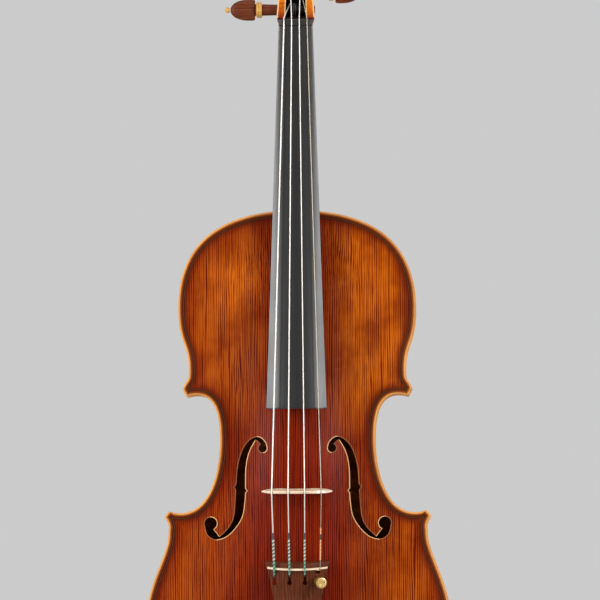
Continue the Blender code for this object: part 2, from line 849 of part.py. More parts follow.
def make_neck():
    look = (MAPLE, 0.3)
    heights = neck_rings(0)
    bare = BODY_TOP + HEEL_RADIUS + 0.022
    heights += [bare + (NUT_Z - bare) * share for share in (0.33, 0.67, 1)] + [PEGBOX_Z + 0.002]
    neck = loft("neck_and_scroll", [neck_section(z, 0) for z in heights], look, smooth=40)

    throat = PEGBOX_Z + PEGBOX_LENGTH
    centre = scroll_centre()
    plane = neck_plane(NUT_Z)
    lowest = NUT_Z - 0.001
    outline = [
        (plane + 0.001, lowest),
        (plane + 0.001, PEGBOX_Z),
        (pegbox_front(PEGBOX_Z), PEGBOX_Z),
        (pegbox_front(throat), throat),
        (centre[0], centre[1]),
        (pegbox_back(centre[1]) - 0.0004, centre[1]),
        (pegbox_back(throat), throat),
        (pegbox_back(PEGBOX_Z + 0.017), PEGBOX_Z + 0.017),
        (pegbox_back(PEGBOX_Z + 0.010) - 0.0008, PEGBOX_Z + 0.010),
        (pegbox_back(PEGBOX_Z + 0.005) - 0.0045, PEGBOX_Z + 0.005),
        (plane + NECK_THICKNESS + 0.001, PEGBOX_Z - 0.001),
        (plane + NECK_THICKNESS - 0.002, lowest),
    ]

    def half(y, z):
        return pegbox_half(z, PEGBOX_WIDTH, PEGBOX_TOP_WIDTH)

    def other_half(y, z):
        return -half(y, z)

    join(neck, prism("pegbox_body", outline, other_half, half, "x"))
    turns = (
        (VOLUTE_RADIUS, 0.41 * EYE_WIDTH, 0.34 * EYE_WIDTH),
        (0.68 * VOLUTE_RADIUS, 0.66 * EYE_WIDTH, 0.60 * EYE_WIDTH),
        (0.34 * VOLUTE_RADIUS, EYE_WIDTH, 0.96 * EYE_WIDTH),
    )
    for i, (radius, width, rim) in enumerate(turns):
        low = 0.86 * radius
        profile = ((-width / 2, low), (-rim / 2, radius), (rim / 2, radius), (width / 2, low))
        join(neck, turned(f"volute_turn_{i}", (0, *centre), profile, "x", count=32))

    bottom = PEGBOX_Z + 0.0011
    top = throat - 0.009
    floor = [
        (pegbox_front(bottom) - 0.01, bottom),
        (pegbox_back(bottom) - PEGBOX_FLOOR - 0.007, bottom),
        (pegbox_back(bottom + 0.012) - PEGBOX_FLOOR, bottom + 0.012),
        (pegbox_back(top) - PEGBOX_FLOOR, top),
        (pegbox_front(top) - 0.01, top),
    ]

    def hollow(y, z):
        return pegbox_half(z, PEGBOX_HOLLOW, PEGBOX_HOLLOW_TOP)

    cut(neck, prism("pegbox_cutter", floor, lambda y, z: -hollow(y, z), hollow, "x"))
    for _, place, head in pegs():
        span = PEGBOX_WIDTH
        profile = [(-span, peg_radius(span) + RUNNING), (span, peg_radius(-span) + RUNNING)]
        if head > 0:
            profile = [(-a, r) for a, r in reversed(profile)]
        cut(neck, turned(f"peg_hole_{place[1]:.3f}", (0, *place), profile, "x", count=16))
    return neck


def make_root_cutter():
    return loft("neck_root_cutter", [neck_section(z, GAP) for z in neck_rings(GAP)])


def make_fingerboard():
    heights = [BOARD_END_Z + (NUT_Z - BOARD_END_Z) * i / 9 for i in range(10)]
    overhang = BODY_TOP - BOARD_END_Z
    rings = []
    for z in heights:
        half = board_half_width(z)
        under = neck_plane(z) - GAP
        hollow = BOARD_HOLLOW * min(max((BODY_TOP - 0.004 - z) / (0.3 * overhang), 0), 1)
        ring = []
        for i in range(9):
            x = half * (2 * i / 8 - 1)
            ring.append((x, board_top(x, z), z))
        for share in (1, 0.6, 0, -0.6, -1):
            ring.append((share * half, under - hollow * (1 - share**2), z))
        rings.append(ring)
    loft("fingerboard", rings, (EBONY, 0.3), smooth=30)


def nut_top(x):
    return board_top(x, NUT_Z) - NUT_HEIGHT


def make_nut():
    half = BOARD_WIDTH_AT_NUT / 2
    low = NUT_Z + GAP
    outline = [(x * half, nut_top(x * half)) for x in (-1, -0.6, -0.2, 0.2, 0.6, 1)]
    seat = neck_plane(NUT_Z) - GAP
    outline += [(half, seat), (-half, seat)]
    prism("nut", outline, low, low + NUT_LENGTH - GAP, "z", (EBONY, 0.3))


# Pegs
def pegs():
    """Each string's name, the place of its peg's axis (y, z) and the side of its head."""
    order = (("c", 0, -1), ("a", 1, 1), ("g", 2, -1), ("d", 3, 1))
    made = []
    for name, rank, head in order:
        z = NUT_Z + FIRST_PEG + rank * PEG_SPACING
        made.append((name, (pegbox_front(z) + PEG_SEAT, z), head))
    return made


def peg_radius(toward_head):
    """The shank's radius, which grows from its tip to its head."""
    share = toward_head / PEGBOX_WIDTH + 0.5
    return PEG_TIP_RADIUS + (PEG_RADIUS - PEG_TIP_RADIUS) * share


def make_pegs():
    for name, (y, z), head in pegs():
        cheek = pegbox_half(z, PEGBOX_WIDTH, PEGBOX_TOP_WIDTH)
        collar = cheek + PEG_REACH - COLLAR_LENGTH - 0.001
        base = cheek + PEG_REACH
        round_ = [
            (-cheek - 0.0006, peg_radius(-cheek)),
            (base - 0.0007, peg_radius(base - 0.0007)),
        ]
        rings = [disc_ring((head * a, y, z), r, "x", 16) for a, r in round_]
        for share, wide, thick in (
            (0.0, 0.90, 0.85),
            (0.14, 0.98, 1.0),
            (0.38, 1.0, 1.0),
            (0.62, 0.90, 0.95),
            (0.84, 0.62, 0.75),
            (1.0, 0.20, 0.40),
        ):
            x = head * (base + share * PEG_HEAD_LENGTH)
            ring = []
            for i in range(16):
                a = 2 * math.pi * i / 16
                across = thick * PEG_HEAD_THICKNESS / 2 * math.cos(a)
                ring.append((x, y + across, z + wide * PEG_HEAD_HEIGHT / 2 * math.sin(a)))
            rings.append(ring)
        loft(f"peg_{name}", rings, (ROSEWOOD, 0.3), (0, y, z), 40)

        bore = peg_radius(collar + COLLAR_LENGTH) + GAP
        ends = [(collar, 0.9), (collar + 0.3 * COLLAR_LENGTH, 1.0), (collar + COLLAR_LENGTH, 0.8)]
        outside = [disc_ring((head * a, y, z), COLLAR_RADIUS * r, "x", 16) for a, r in ends]
        inside = [disc_ring((head * a, y, z), bore, "x", 16) for a, _ in reversed(ends)]
        ring_solid(f"peg_collar_{name}", outside + inside, (BOXWOOD, 0.35), (0, y, z))

        tip = base + PEG_HEAD_LENGTH + GAP
        profile = ((0, 0.5), (0.2, 0.5), (0.4, 0.9), (0.65, 1.0), (0.9, 0.75), (1.0, 0.35))
        rings = []
        for share, wide in profile:
            x = head * (tip + share * PIP_LENGTH)
            rings.append(disc_ring((x, y, z), wide * PIP_RADIUS, "x", 12))
        loft(f"peg_pip_{name}", rings, (BOXWOOD, 0.35), (0, y, z), 40)


def ring_solid(name, rings, look, origin=(0, 0, 0)):
    """A closed solid whose rings run round and meet the first again, such as a collar."""
    bm = bmesh.new()
    rows = [[bm.verts.new(point) for point in ring] for ring in rings]
    count = len(rows[0])
    for low, high in zip(rows, rows[1:] + rows[:1]):
        for i in range(count):
            j = (i + 1) % count
            bm.faces.new((low[i], low[j], high[j], high[i]))
    return finish_mesh(name, bm, look, origin, 40)


# Bridge
def string_share(index):
    """The string's place across the instrument, from -0.5 for C to 0.5 for A."""
    return index / 3 - 0.5


def bridge_crown(x):
    rise = BRIDGE_RADIUS - math.sqrt(BRIDGE_RADIUS**2 - x**2)
    return top_surface(0, BRIDGE_Z) - BRIDGE_TOP + rise - BRIDGE_TILT * -x


def make_bridge():
    look = (PLAIN_MAPLE, 0.45)
    foot = 0.44 * BRIDGE_WIDTH
    toe = 0.20 * BRIDGE_WIDTH
    wing = BRIDGE_WIDTH / 2
    crown_half = BRIDGE_SPREAD / 2 + 0.0035
    base = top_surface(0, BRIDGE_Z)

    def up(share):
        return base - share * BRIDGE_TOP

    def under_foot(x):
        return top_surface(x, BRIDGE_Z) - ARCH_GAP

    right = [(x * crown_half, bridge_crown(x * crown_half)) for x in (0, 0.25, 0.5, 0.75, 1)]
    right += [
        (crown_half + 0.0012, up(0.70)),
        (0.82 * wing, up(0.58)),
        (0.86 * wing, up(0.46)),
        (wing, up(0.36)),
        (0.97 * wing, up(0.30)),
        (0.80 * wing, up(0.31)),
        (0.76 * wing, up(0.22)),
        (foot, under_foot(foot) - 0.0035),
        (foot, under_foot(foot)),
        ((foot + toe) / 2, under_foot((foot + toe) / 2)),
        (toe, under_foot(toe)),
        (toe - 0.0004, up(0.13)),
        (0.30 * wing, up(0.235)),
        (0.14 * wing, up(0.27)),
        (0, up(0.25)),
    ]
    outline = right + [(-x, y) for x, y in reversed(right[1:-1])]
    highest = min(y for _, y in outline)

    def near(x, y):
        return BRIDGE_Z - BRIDGE_FOOT / 2

    def far(x, y):
        share = (base - y) / (base - highest)
        return near(x, y) + BRIDGE_FOOT + (BRIDGE_CREST - BRIDGE_FOOT) * max(share, 0)

    bridge = prism("bridge", outline, near, far, "z", look)
    low = BRIDGE_Z - BRIDGE_FOOT
    high = BRIDGE_Z + BRIDGE_FOOT
    heart = arc((-HEART_RADIUS, up(0.60)), HEART_RADIUS, -20, -200, 5) + [(0, up(0.455))]
    heart += [(-x, y) for x, y in reversed(heart[:-1])]
    cut(bridge, prism("heart_cutter", heart, low, high, "z"))
    for side, flip in (("treble", 1), ("bass", -1)):
        lobe = arc((0.50 * wing, up(0.44)), KIDNEY_RADIUS, 0, 330, 11)
        shape = [(flip * x, y) for x, y in lobe]
        cut(bridge, prism(f"kidney_{side}_cutter", shape, low, high, "z"))
    return bridge


# Tailpiece and what it carries
def string_line(x, z):
    """The line of the strings behind the bridge, where they run straight to the saddle."""
    saddle_top = -HALF_RIB - EDGE_THICKNESS - SADDLE_HEIGHT
    crest = top_surface(0, BRIDGE_Z) - BRIDGE_TOP
    slope = (saddle_top - crest) / (BRIDGE_Z - BODY_BOTTOM)
    return crest + slope * (BRIDGE_Z - z) + TAILPIECE_RADIUS - math.sqrt(TAILPIECE_RADIUS**2 - x**2)


def tailpiece_half_width(z):
    """A flare at the string end, then a slow taper to the tail."""
    share = (TAILPIECE_TOP_Z - z) / TAILPIECE_LENGTH
    narrowing = TAILPIECE_MIDDLE + (TAILPIECE_END - TAILPIECE_MIDDLE) * (share - 0.25) / 0.75
    flare = (TAILPIECE_WIDTH - TAILPIECE_MIDDLE - 0.25 * (TAILPIECE_MIDDLE - TAILPIECE_END) / 0.75)
    return (narrowing + flare * math.exp(-share / 0.16)) / 2


def tailpiece_top(x, z):
    """The top face meets the strings at the fret and stands in front of their line at the tail."""
    share = (TAILPIECE_TOP_Z - TAILPIECE_FRET_AT - z) / TAILPIECE_LENGTH
    return string_line(x, z) + FRET_HEIGHT - TAILPIECE_RISE * share


def make_tailpiece():
    rings = []
    for share in (0, 0.05, 0.14, 0.3, 0.5, 0.75, 0.95, 1):
        z = TAILPIECE_TOP_Z - share * TAILPIECE_LENGTH
        half = tailpiece_half_width(z)
        if share == 1:
            half -= 0.002
        edge = tailpiece_top(half, z) + TAILPIECE_EDGE
        ring = []
        for i in range(9):
            x = half * (2 * i / 8 - 1)
            ring.append((x, tailpiece_top(x, z), z))
        hollow = TAILPIECE_HOLLOW * (2 * half / TAILPIECE_WIDTH) ** 2
        for i in range(7):
            across = 1 - i / 3
            ring.append((across * half, edge - hollow * (1 - across**2), z))
        rings.append(ring)
    tailpiece = loft("tailpiece", rings, (ROSEWOOD, 0.35), smooth=30)
    for index in range(3):
        x = FRET_SPREAD * string_share(index)
        opening = math.degrees(math.asin(STRING_SLOT_HALF_WIDTH / STRING_HOLE_RADIUS))
        keyhole = arc((x, hole_z()), STRING_HOLE_RADIUS, 90 + opening, 450 - opening, 10)
        keyhole.append((x + STRING_SLOT_HALF_WIDTH, hole_z() + STRING_SLOT_LENGTH))
        keyhole.append((x - STRING_SLOT_HALF_WIDTH, hole_z() + STRING_SLOT_LENGTH))
        y = string_line(x, hole_z())
        cut(tailpiece, prism(f"keyhole_cutter_{index}", keyhole, y - 0.01, y + 0.02, "y"))
    for side, flip in (("treble", 1), ("bass", -1)):
        middle = (flip * GUT_SPREAD / 2, gut_y(), TAILPIECE_AT - 0.01)
        profile = ((0, GUT_RADIUS + GAP), (0.01 + GUT_HOLE_DEPTH, GUT_RADIUS + GAP))
        cut(tailpiece, turned(f"gut_hole_{side}", middle, profile, "z", count=12))
    cut_for_tuner(tailpiece)
    return tailpiece


def hole_z():
    return TAILPIECE_TOP_Z - STRING_HOLES_AT


def gut_y():
    """Height of the tail gut's holes in the end face of the tailpiece."""
    return tailpiece_top(GUT_SPREAD / 2, TAILPIECE_AT) + 0.5 * TAILPIECE_EDGE


# Fine tuner of the A string
def tuner_frame():
    """Local axes of the tuner: across, along the tailpiece to the fret, and out along the screw."""
    z = TAILPIECE_TOP_Z - TUNER_BELOW_TOP
    step = 0.001
    slope = (tailpiece_top(0, z + step) - tailpiece_top(0, z)) / step
    along_ = Vector((0, slope, 1)).normalized()
    lean = math.radians(TUNER_LEAN)
    across = Vector((math.cos(lean), math.sin(lean), 0))
    out = across.cross(along_).normalized()
    across = along_.cross(out).normalized()
    place = Vector((TUNER_X, tailpiece_top(TUNER_X, z), z))
    return Matrix.Translation(place) @ Matrix((across, along_, out)).transposed().to_4x4()


def cut_for_tuner(tailpiece):
    frame = tuner_frame()
    depth = 2 * TUNER_PIVOT_DEPTH
    sleeve = ((-depth, TUNER_SLEEVE_RADIUS + GAP), (depth, TUNER_SLEEVE_RADIUS + GAP))
    seat = ((-GAP, TUNER_COLLAR_RADIUS + GAP), (depth, TUNER_COLLAR_RADIUS + GAP))
    half = TUNER_LEVER_HALF_WIDTH + 2 * GAP
    swing_in = TUNER_ARM - TUNER_LEVER_THICKNESS / 2 - TUNER_HOOK_SWING_IN - GAP
    swing_out = TUNER_ARM + TUNER_LEVER_THICKNESS / 2 + TUNER_HOOK_SWING_OUT + GAP
    slot = [(-half, swing_in), (half, swing_in), (half, swing_out), (-half, swing_out)]
    cutters = (
        turned("sleeve_hole_cutter", (0, 0, 0), sleeve, "z", count=16),
        turned("collar_seat_cutter", (0, 0, 0), seat, "z", count=16),
        prism("lever_slot_cutter", slot, -depth, depth, "z"),
    )
    for cutter in cutters:
        cutter.matrix_world = frame
        cut(tailpiece, cutter)


def make_tuner():
    """A brass frame whose screw pushes a lever, which pulls the string's end to the tail."""
    frame = tuner_frame()
    look = (BRASS, 0.3, 1.0)
    under = -TUNER_FRAME_AT - TUNER_FRAME_THICKNESS
    bracket = turned(
        "tuner_bracket",
        (0, 0, 0),
        (
            (under, TUNER_SLEEVE_RADIUS),
            (-GAP / 2, TUNER_SLEEVE_RADIUS),
            (0, TUNER_COLLAR_RADIUS),
            (TUNER_COLLAR_HEIGHT, 0.9 * TUNER_COLLAR_RADIUS),
        ),
        "z",
        look,
        count=16,
    )
    wide = TUNER_FRAME_HALF_WIDTH
    window = TUNER_LEVER_HALF_WIDTH + GAP
    near = -1.3 * TUNER_SLEEVE_RADIUS
    far = TUNER_ARM + 0.0016
    inner = 0.45 * TUNER_ARM
    half_outline = [(wide, near), (wide, far), (window, far), (window, inner)]
    outline = half_outline + [(-x, t) for x, t in reversed(half_outline)]
    plate_ = prism("tuner_frame_plate", outline, under, -TUNER_FRAME_AT, "z")
    pieces = [plate_]
    low = -TUNER_PIVOT_DEPTH - 0.0011
    top = under + 0.0002
    ear = [(far - TUNER_EAR, top), (far, top), (far, low), (far - TUNER_EAR, low)]
    for side, flip in (("treble", 1), ("bass", -1)):
        ends = sorted((flip * window, flip * wide))
        pieces.append(prism(f"tuner_ear_{side}", ear, ends[0], ends[1], "x"))
    pin = ((-wide + GAP, TUNER_PIN_RADIUS), (wide - GAP, TUNER_PIN_RADIUS))
    pieces.append(turned("tuner_pin", (0, TUNER_ARM, -TUNER_PIVOT_DEPTH), pin, "x", count=8))
    bracket.matrix_world = frame
    for piece in pieces:
        piece.matrix_world = frame
        join(bracket, piece)
    bore = turned(
        "tuner_bore",
        (0, 0, 0),
        ((-0.02, TUNER_SCREW_RADIUS + RUNNING), (0.02, TUNER_SCREW_RADIUS + RUNNING)),
        "z",
        count=12,
    )
    bore.matrix_world = frame
    cut(bracket, bore)

    arm_top = -TUNER_PIVOT_DEPTH + TUNER_ARM_TOP
    knob_low = TUNER_KNOB_AT
    screw = turned(
        "tuner_screw",
        (0, 0, 0),
        ((arm_top + GAP, TUNER_SCREW_RADIUS), (knob_low - GAP, TUNER_SCREW_RADIUS)),
        "z",
        look,
        count=12,
    )
    screw.matrix_world = frame
    knob = turned(
        "tuner_knob",
        (0, 0, 0),
        (
            (knob_low, 0.88 * TUNER_KNOB_RADIUS),
            (knob_low + 0.15 * TUNER_KNOB_HEIGHT, TUNER_KNOB_RADIUS),
            (knob_low + 0.85 * TUNER_KNOB_HEIGHT, TUNER_KNOB_RADIUS),
            (knob_low + TUNER_KNOB_HEIGHT, 0.85 * TUNER_KNOB_RADIUS),
        ),
        "z",
        look,
        count=24,
    )
    knob.matrix_world = frame

    thick = TUNER_LEVER_THICKNESS
    boss = TUNER_PIN_RADIUS + RUNNING + 0.0007
    tail = -TUNER_ARM - 1.2 * TUNER_SCREW_RADIUS
    hook = TUNER_PIVOT_DEPTH + TUNER_HOOK_HEIGHT
    profile = [
        (tail, TUNER_ARM_TOP),
        (-boss, TUNER_ARM_TOP),
        (-0.5 * thick, boss),
        (-0.5 * thick, hook),
        (0.5 * thick, hook),
        (0.5 * thick, boss),
        (boss, 0.5 * boss),
        (boss, -0.5 * boss),
        (0.5 * boss, -boss),
        (-boss, TUNER_ARM_TOP - thick),
        (tail, TUNER_ARM_TOP - thick),
    ]
    half = TUNER_LEVER_HALF_WIDTH
    lever = prism("tuner_lever", profile, -half, half, "x", look)
    hole = turned(
        "tuner_lever_hole",
        (0, 0, 0),
        ((-2 * half, TUNER_PIN_RADIUS + RUNNING), (2 * half, TUNER_PIN_RADIUS + RUNNING)),
        "x",
        count=8,
    )
    pivot = frame @ Matrix.Translation((0, TUNER_ARM, -TUNER_PIVOT_DEPTH))
    lever.matrix_world = pivot
    hole.matrix_world = pivot
    cut(lever, hole)


def make_tailpiece_fret():
    z = TAILPIECE_TOP_Z - TAILPIECE_FRET_AT
    half = tailpiece_half_width(z) - GAP
    outline = [(half * i / 4, string_line(half * i / 4, z)) for i in range(-4, 5)]
    outline += [(half * i / 4, tailpiece_top(half * i / 4, z) - GAP) for i in range(4, -5, -1)]
    prism("tailpiece_fret", outline, z - FRET_WIDTH / 2, z + FRET_WIDTH / 2, "z", (BONE, 0.35))


def saddle_block(name, clearance, look=None):
    top = -HALF_RIB - EDGE_THICKNESS - SADDLE_HEIGHT
    half = SADDLE_WIDTH / 2 + clearance
    near = BODY_BOTTOM - clearance - SADDLE_OVERLAP
    far = BODY_BOTTOM + SADDLE_DEPTH + clearance
    seat = -HALF_RIB - GAP
    if clearance:
        top -= SADDLE_HEIGHT
        seat = -HALF_RIB + SADDLE_HEIGHT
        outline = [(-half, top), (half, top), (half, seat), (-half, seat)]
    else:
        shoulder = -HALF_RIB - EDGE_THICKNESS
        outline = [(-half, seat), (half, seat), (half, shoulder), (0.45 * half, top)]
        outline += [(-0.45 * half, top), (-half, shoulder)]
    return prism(name, outline, near, far, "z", look)


def make_end_button():
    neck_ = BUTTON_PROTRUSION - 0.0006
    profile = (
        (0, 0.0036),
        (0.0012, 0.0062),
        (0.0042, BUTTON_RADIUS),
        (0.0080, 0.0066),
        (0.0094, BUTTON_PIN_RADIUS + 0.0012),
        (neck_, BUTTON_PIN_RADIUS + 0.0008),
        (neck_ + 0.0001, BUTTON_PIN_RADIUS),
        (BUTTON_PROTRUSION + END_BLOCK_DEPTH - 0.002, BUTTON_PIN_RADIUS - 0.0004),
    )
    turned("end_button", (0, 0, 0), profile, "z", (ROSEWOOD, 0.3))


def make_tail_gut():
    """A nylon loop from the tailpiece over the saddle and round the end button."""
    half = GUT_SPREAD / 2
    lift = GAP + GUT_RADIUS
    over = -HALF_RIB - EDGE_THICKNESS - SADDLE_HEIGHT - lift
    below = BODY_BOTTOM - SADDLE_OVERLAP - lift
    groove = BUTTON_PIN_RADIUS + 0.0012 + lift
    groove_z = BODY_BOTTOM + 0.0005
    side = [
        (half, gut_y(), TAILPIECE_AT + GUT_HOLE_DEPTH - 0.001),
        (half, gut_y(), TAILPIECE_AT - 0.0006),
        (half, over, BODY_BOTTOM + 0.0004),
        (half, over + 0.0003, below + 0.0004),
        (half, over + 0.0015, below),
        (0.5 * (half + groove), -HALF_RIB, below),
        (groove, -groove, groove_z - 0.0005),
    ]
    loop = [(x, y, groove_z) for x, y in arc((0, 0), groove, 0, 180, 12)]
    points = side + loop + [(-x, y, z) for x, y, z in reversed(side)]
    tube("tail_gut", points, GUT_RADIUS, (NYLON, 0.4), 2)


def make_strings():
    """Each string runs from its hole over fret, bridge and nut, and winds on its peg."""
    places = {name: (place, head) for name, place, head in pegs()}
    fret_z = TAILPIECE_TOP_Z - TAILPIECE_FRET_AT
    for index, (name, radius) in enumerate(STRINGS):
        share = string_share(index)
        lift = GAP + radius
        nut_x = NUT_SPREAD * share
        bridge_x = BRIDGE_SPREAD * share
        fret_x = FRET_SPREAD * share
        (y, z), head = places[name]
        coil = peg_radius(PEGBOX_HOLLOW / 2) + GAP + radius
        pitch = 2 * radius + WINDING_GAP
        wall = pegbox_half(z, PEGBOX_HOLLOW, PEGBOX_HOLLOW_TOP) - radius - 2 * GAP
        start = min(wall, pitch * WINDING_TURNS)
        nut_far = NUT_Z + NUT_LENGTH + GAP
        nut_y = nut_top(nut_x) - lift
        away = math.hypot(nut_y - y, nut_far - z)
        entry = math.atan2(nut_far - z, nut_y - y) - math.acos(coil / away)
        steps = WINDING_TURNS * WINDING_POINTS
        winding = []
        for i in range(steps + 1):
            a = entry - 2 * math.pi * i / WINDING_POINTS
            x = head * (start - pitch * i / WINDING_POINTS)
            winding.append((x, y + coil * math.cos(a), z + coil * math.sin(a)))
        end = winding[-1]
        before = winding[-2]
        entry_z = hole_z() + STRING_ENTRY
        slot_z = hole_z() + STRING_SLOT_LENGTH
        held = [
            (fret_x, tailpiece_top(fret_x, entry_z) + 2 * lift, entry_z),
            (fret_x, tailpiece_top(fret_x, slot_z) - lift - GAP, slot_z),
        ]
        if name == TUNED_STRING:
            hook = (0, TUNER_ARM, TUNER_HOOK_HEIGHT + lift)
            held = [tuple(tuner_frame() @ Vector(hook))]
        points = [
            *held,
            (fret_x, string_line(fret_x, fret_z) - lift, fret_z - FRET_WIDTH / 2),
            (fret_x, string_line(fret_x, fret_z) - lift, fret_z + FRET_WIDTH / 2),
            (bridge_x, bridge_crown(bridge_x) - lift, BRIDGE_Z - BRIDGE_FOOT / 2 - GAP),
            (bridge_x, bridge_crown(bridge_x) - lift, BRIDGE_Z),
            (nut_x, nut_y, NUT_Z),
            (nut_x, nut_y, nut_far),
        ]
        points += winding
        points.append(tuple(e + (e - b) * 0.8 for e, b in zip(end, before)))
        tube(f"string_{name}", points, radius, (STEEL, 0.3, 1.0))
        closest = least_gap(winding, radius)
        print(f"string {name}: least gap between its turns {closest * 1000:.2f} mm")


def least_gap(points, radius):
    """The least clear distance between turns of a coil."""
    half_turn = WINDING_POINTS // 2
    least = math.inf
    for i, one in enumerate(points):
        for two in points[i + half_turn :]:
            least = min(least, math.dist(one, two) - 2 * radius)
    return least


def main():
    clear_scene()
    top = plate("top_plate", -1, TOP_ARCH, (SPRUCE, 0.3))
    back = plate("back_plate", 1, BACK_ARCH, (MAPLE, 0.3))
    cut_f_holes(top)
    button = turned(
        "back_button",
        (0, HALF_RIB, BODY_TOP),
        ((0.00005, HEEL_RADIUS), (0.8 * EDGE_THICKNESS, HEEL_RADIUS)),
        "y",
        count=32,
    )
    join(back, button)
    ribs = make_ribs()
    make_linings()
    blocks = make_blocks()
    make_bass_bar()
    make_soundpost()
    make_neck()
    root = make_root_cutter()
    for obj in (top, ribs["rib_upper_treble"], ribs["rib_upper_bass"], blocks["neck_block"]):
        cut(obj, root)
    make_fingerboard()
    make_nut()
    make_pegs()
    make_bridge()
    tailpiece = make_tailpiece()
    make_tailpiece_fret()
    make_tuner()
    saddle_block("saddle", 0, (EBONY, 0.3))
    cut(top, saddle_block("saddle_cutter", GAP))
    make_end_button()
    bore = BUTTON_PIN_RADIUS + GAP
    profile = ((0.001, bore), (2 * BUTTON_PROTRUSION + END_BLOCK_DEPTH, bore))
    pin_hole = turned("button_hole_cutter", (0, 0, 0), profile, "z")
    cut(ribs["rib_lower"], pin_hole)
    cut(blocks["end_block"], pin_hole)
    make_tail_gut()
    make_strings()


main()
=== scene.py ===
import math

import bmesh
import bpy
from mathutils import Matrix, Vector
from mathutils.kdtree import KDTree
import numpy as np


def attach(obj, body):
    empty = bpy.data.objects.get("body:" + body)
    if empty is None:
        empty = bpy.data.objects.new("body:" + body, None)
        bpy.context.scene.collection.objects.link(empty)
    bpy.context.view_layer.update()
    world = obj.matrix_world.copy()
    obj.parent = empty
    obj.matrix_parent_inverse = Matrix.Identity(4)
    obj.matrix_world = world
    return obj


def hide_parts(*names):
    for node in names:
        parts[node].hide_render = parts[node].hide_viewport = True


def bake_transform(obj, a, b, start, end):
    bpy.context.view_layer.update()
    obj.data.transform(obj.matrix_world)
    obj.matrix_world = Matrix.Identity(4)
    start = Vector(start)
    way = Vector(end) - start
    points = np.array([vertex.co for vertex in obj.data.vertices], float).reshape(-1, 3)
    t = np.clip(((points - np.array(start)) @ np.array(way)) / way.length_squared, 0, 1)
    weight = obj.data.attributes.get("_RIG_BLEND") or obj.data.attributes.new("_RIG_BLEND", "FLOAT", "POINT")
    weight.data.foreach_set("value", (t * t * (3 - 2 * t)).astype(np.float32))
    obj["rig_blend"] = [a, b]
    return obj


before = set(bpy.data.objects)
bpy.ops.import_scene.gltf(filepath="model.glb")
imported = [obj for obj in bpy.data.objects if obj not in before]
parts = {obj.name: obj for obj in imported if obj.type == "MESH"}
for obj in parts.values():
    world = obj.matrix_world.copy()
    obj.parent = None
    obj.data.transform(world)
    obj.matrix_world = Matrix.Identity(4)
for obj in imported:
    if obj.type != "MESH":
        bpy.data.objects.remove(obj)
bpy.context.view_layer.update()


# Blocks, linings, bass bar and soundpost: bare willow and spruce inside the box.
# They are split and planed, glued to the ribs and the top, and never varnished.
def node(tree, kind, inputs=None, **settings):
    """Adds a shader node whose inputs are numbers, colours or other nodes' sockets."""
    made = tree.nodes.new("ShaderNode" + kind)
    for key, value in settings.items():
        setattr(made, key, value)
    for key, value in (inputs or {}).items():
        if isinstance(value, bpy.types.NodeSocket):
            tree.links.new(value, made.inputs[key])
        else:
            made.inputs[key].default_value = value
    return made


def math_node(tree, operation, first, second=0.0, third=0.0, clamp=False):
    inputs = {0: first, 1: second, 2: third}
    return node(tree, "Math", inputs, operation=operation, use_clamp=clamp).outputs[0]


def times(tree, first, second, clamp=False):
    return math_node(tree, "MULTIPLY", first, second, clamp=clamp)


def scaled(tree, place, amounts):
    return node(tree, "VectorMath", {0: place, 1: amounts}, operation="MULTIPLY").outputs[0]


def ramp(tree, factor, *stops):
    """A colour ramp through (place, colour) stops, with its colour as the result."""
    made = node(tree, "ValToRGB", {"Fac": factor})
    keys = made.color_ramp.elements
    while len(keys) < len(stops):
        keys.new(1.0)
    for key, (place, colour) in zip(keys, stops):
        key.position = place
        key.color = (*colour, 1.0)
    return made.outputs["Color"]


def mix(tree, factor, first, second, kind="MIX"):
    made = node(tree, "Mix", {0: factor}, data_type="RGBA", blend_type=kind)
    for place, value in ((6, first), (7, second)):
        if isinstance(value, bpy.types.NodeSocket):
            tree.links.new(value, made.inputs[place])
        else:
            made.inputs[place].default_value = (*value, 1.0)
    return made.outputs[2]


def place_of(tree):
    return node(tree, "TexCoord").outputs["Object"]


def attribute(tree, name):
    return node(tree, "Attribute", attribute_name=name).outputs["Fac"]


def noise(tree, place, scale, detail, roughness=0.5):
    inputs = {"Vector": place, "Scale": scale, "Detail": detail, "Roughness": roughness}
    return node(tree, "TexNoise", inputs).outputs["Fac"]


def remap(tree, value, start, end, low=0.0, high=1.0):
    """Maps start to end onto low to high, and holds the result beyond them."""
    return node(tree, "MapRange", {"Value": value, 1: start, 2: end, 3: low, 4: high}).outputs[0]


def clouded(tree, colour, cloud, start, tint, end):
    """Tints a colour where the cloud is low."""
    shade = ramp(tree, cloud, (start, tint), (end, (1.0, 1.0, 1.0)))
    return mix(tree, 1.0, colour, shade, "MULTIPLY")


def group_of(name, inputs, outputs):
    """An empty node group with named sockets, and its two end nodes."""
    tree = bpy.data.node_groups.new(name, "ShaderNodeTree")
    for in_out, sockets in (("INPUT", inputs), ("OUTPUT", outputs)):
        for label, kind in sockets.items():
            tree.interface.new_socket(name=label, in_out=in_out, socket_type="NodeSocket" + kind)
    return tree, tree.nodes.new("NodeGroupInput"), tree.nodes.new("NodeGroupOutput")


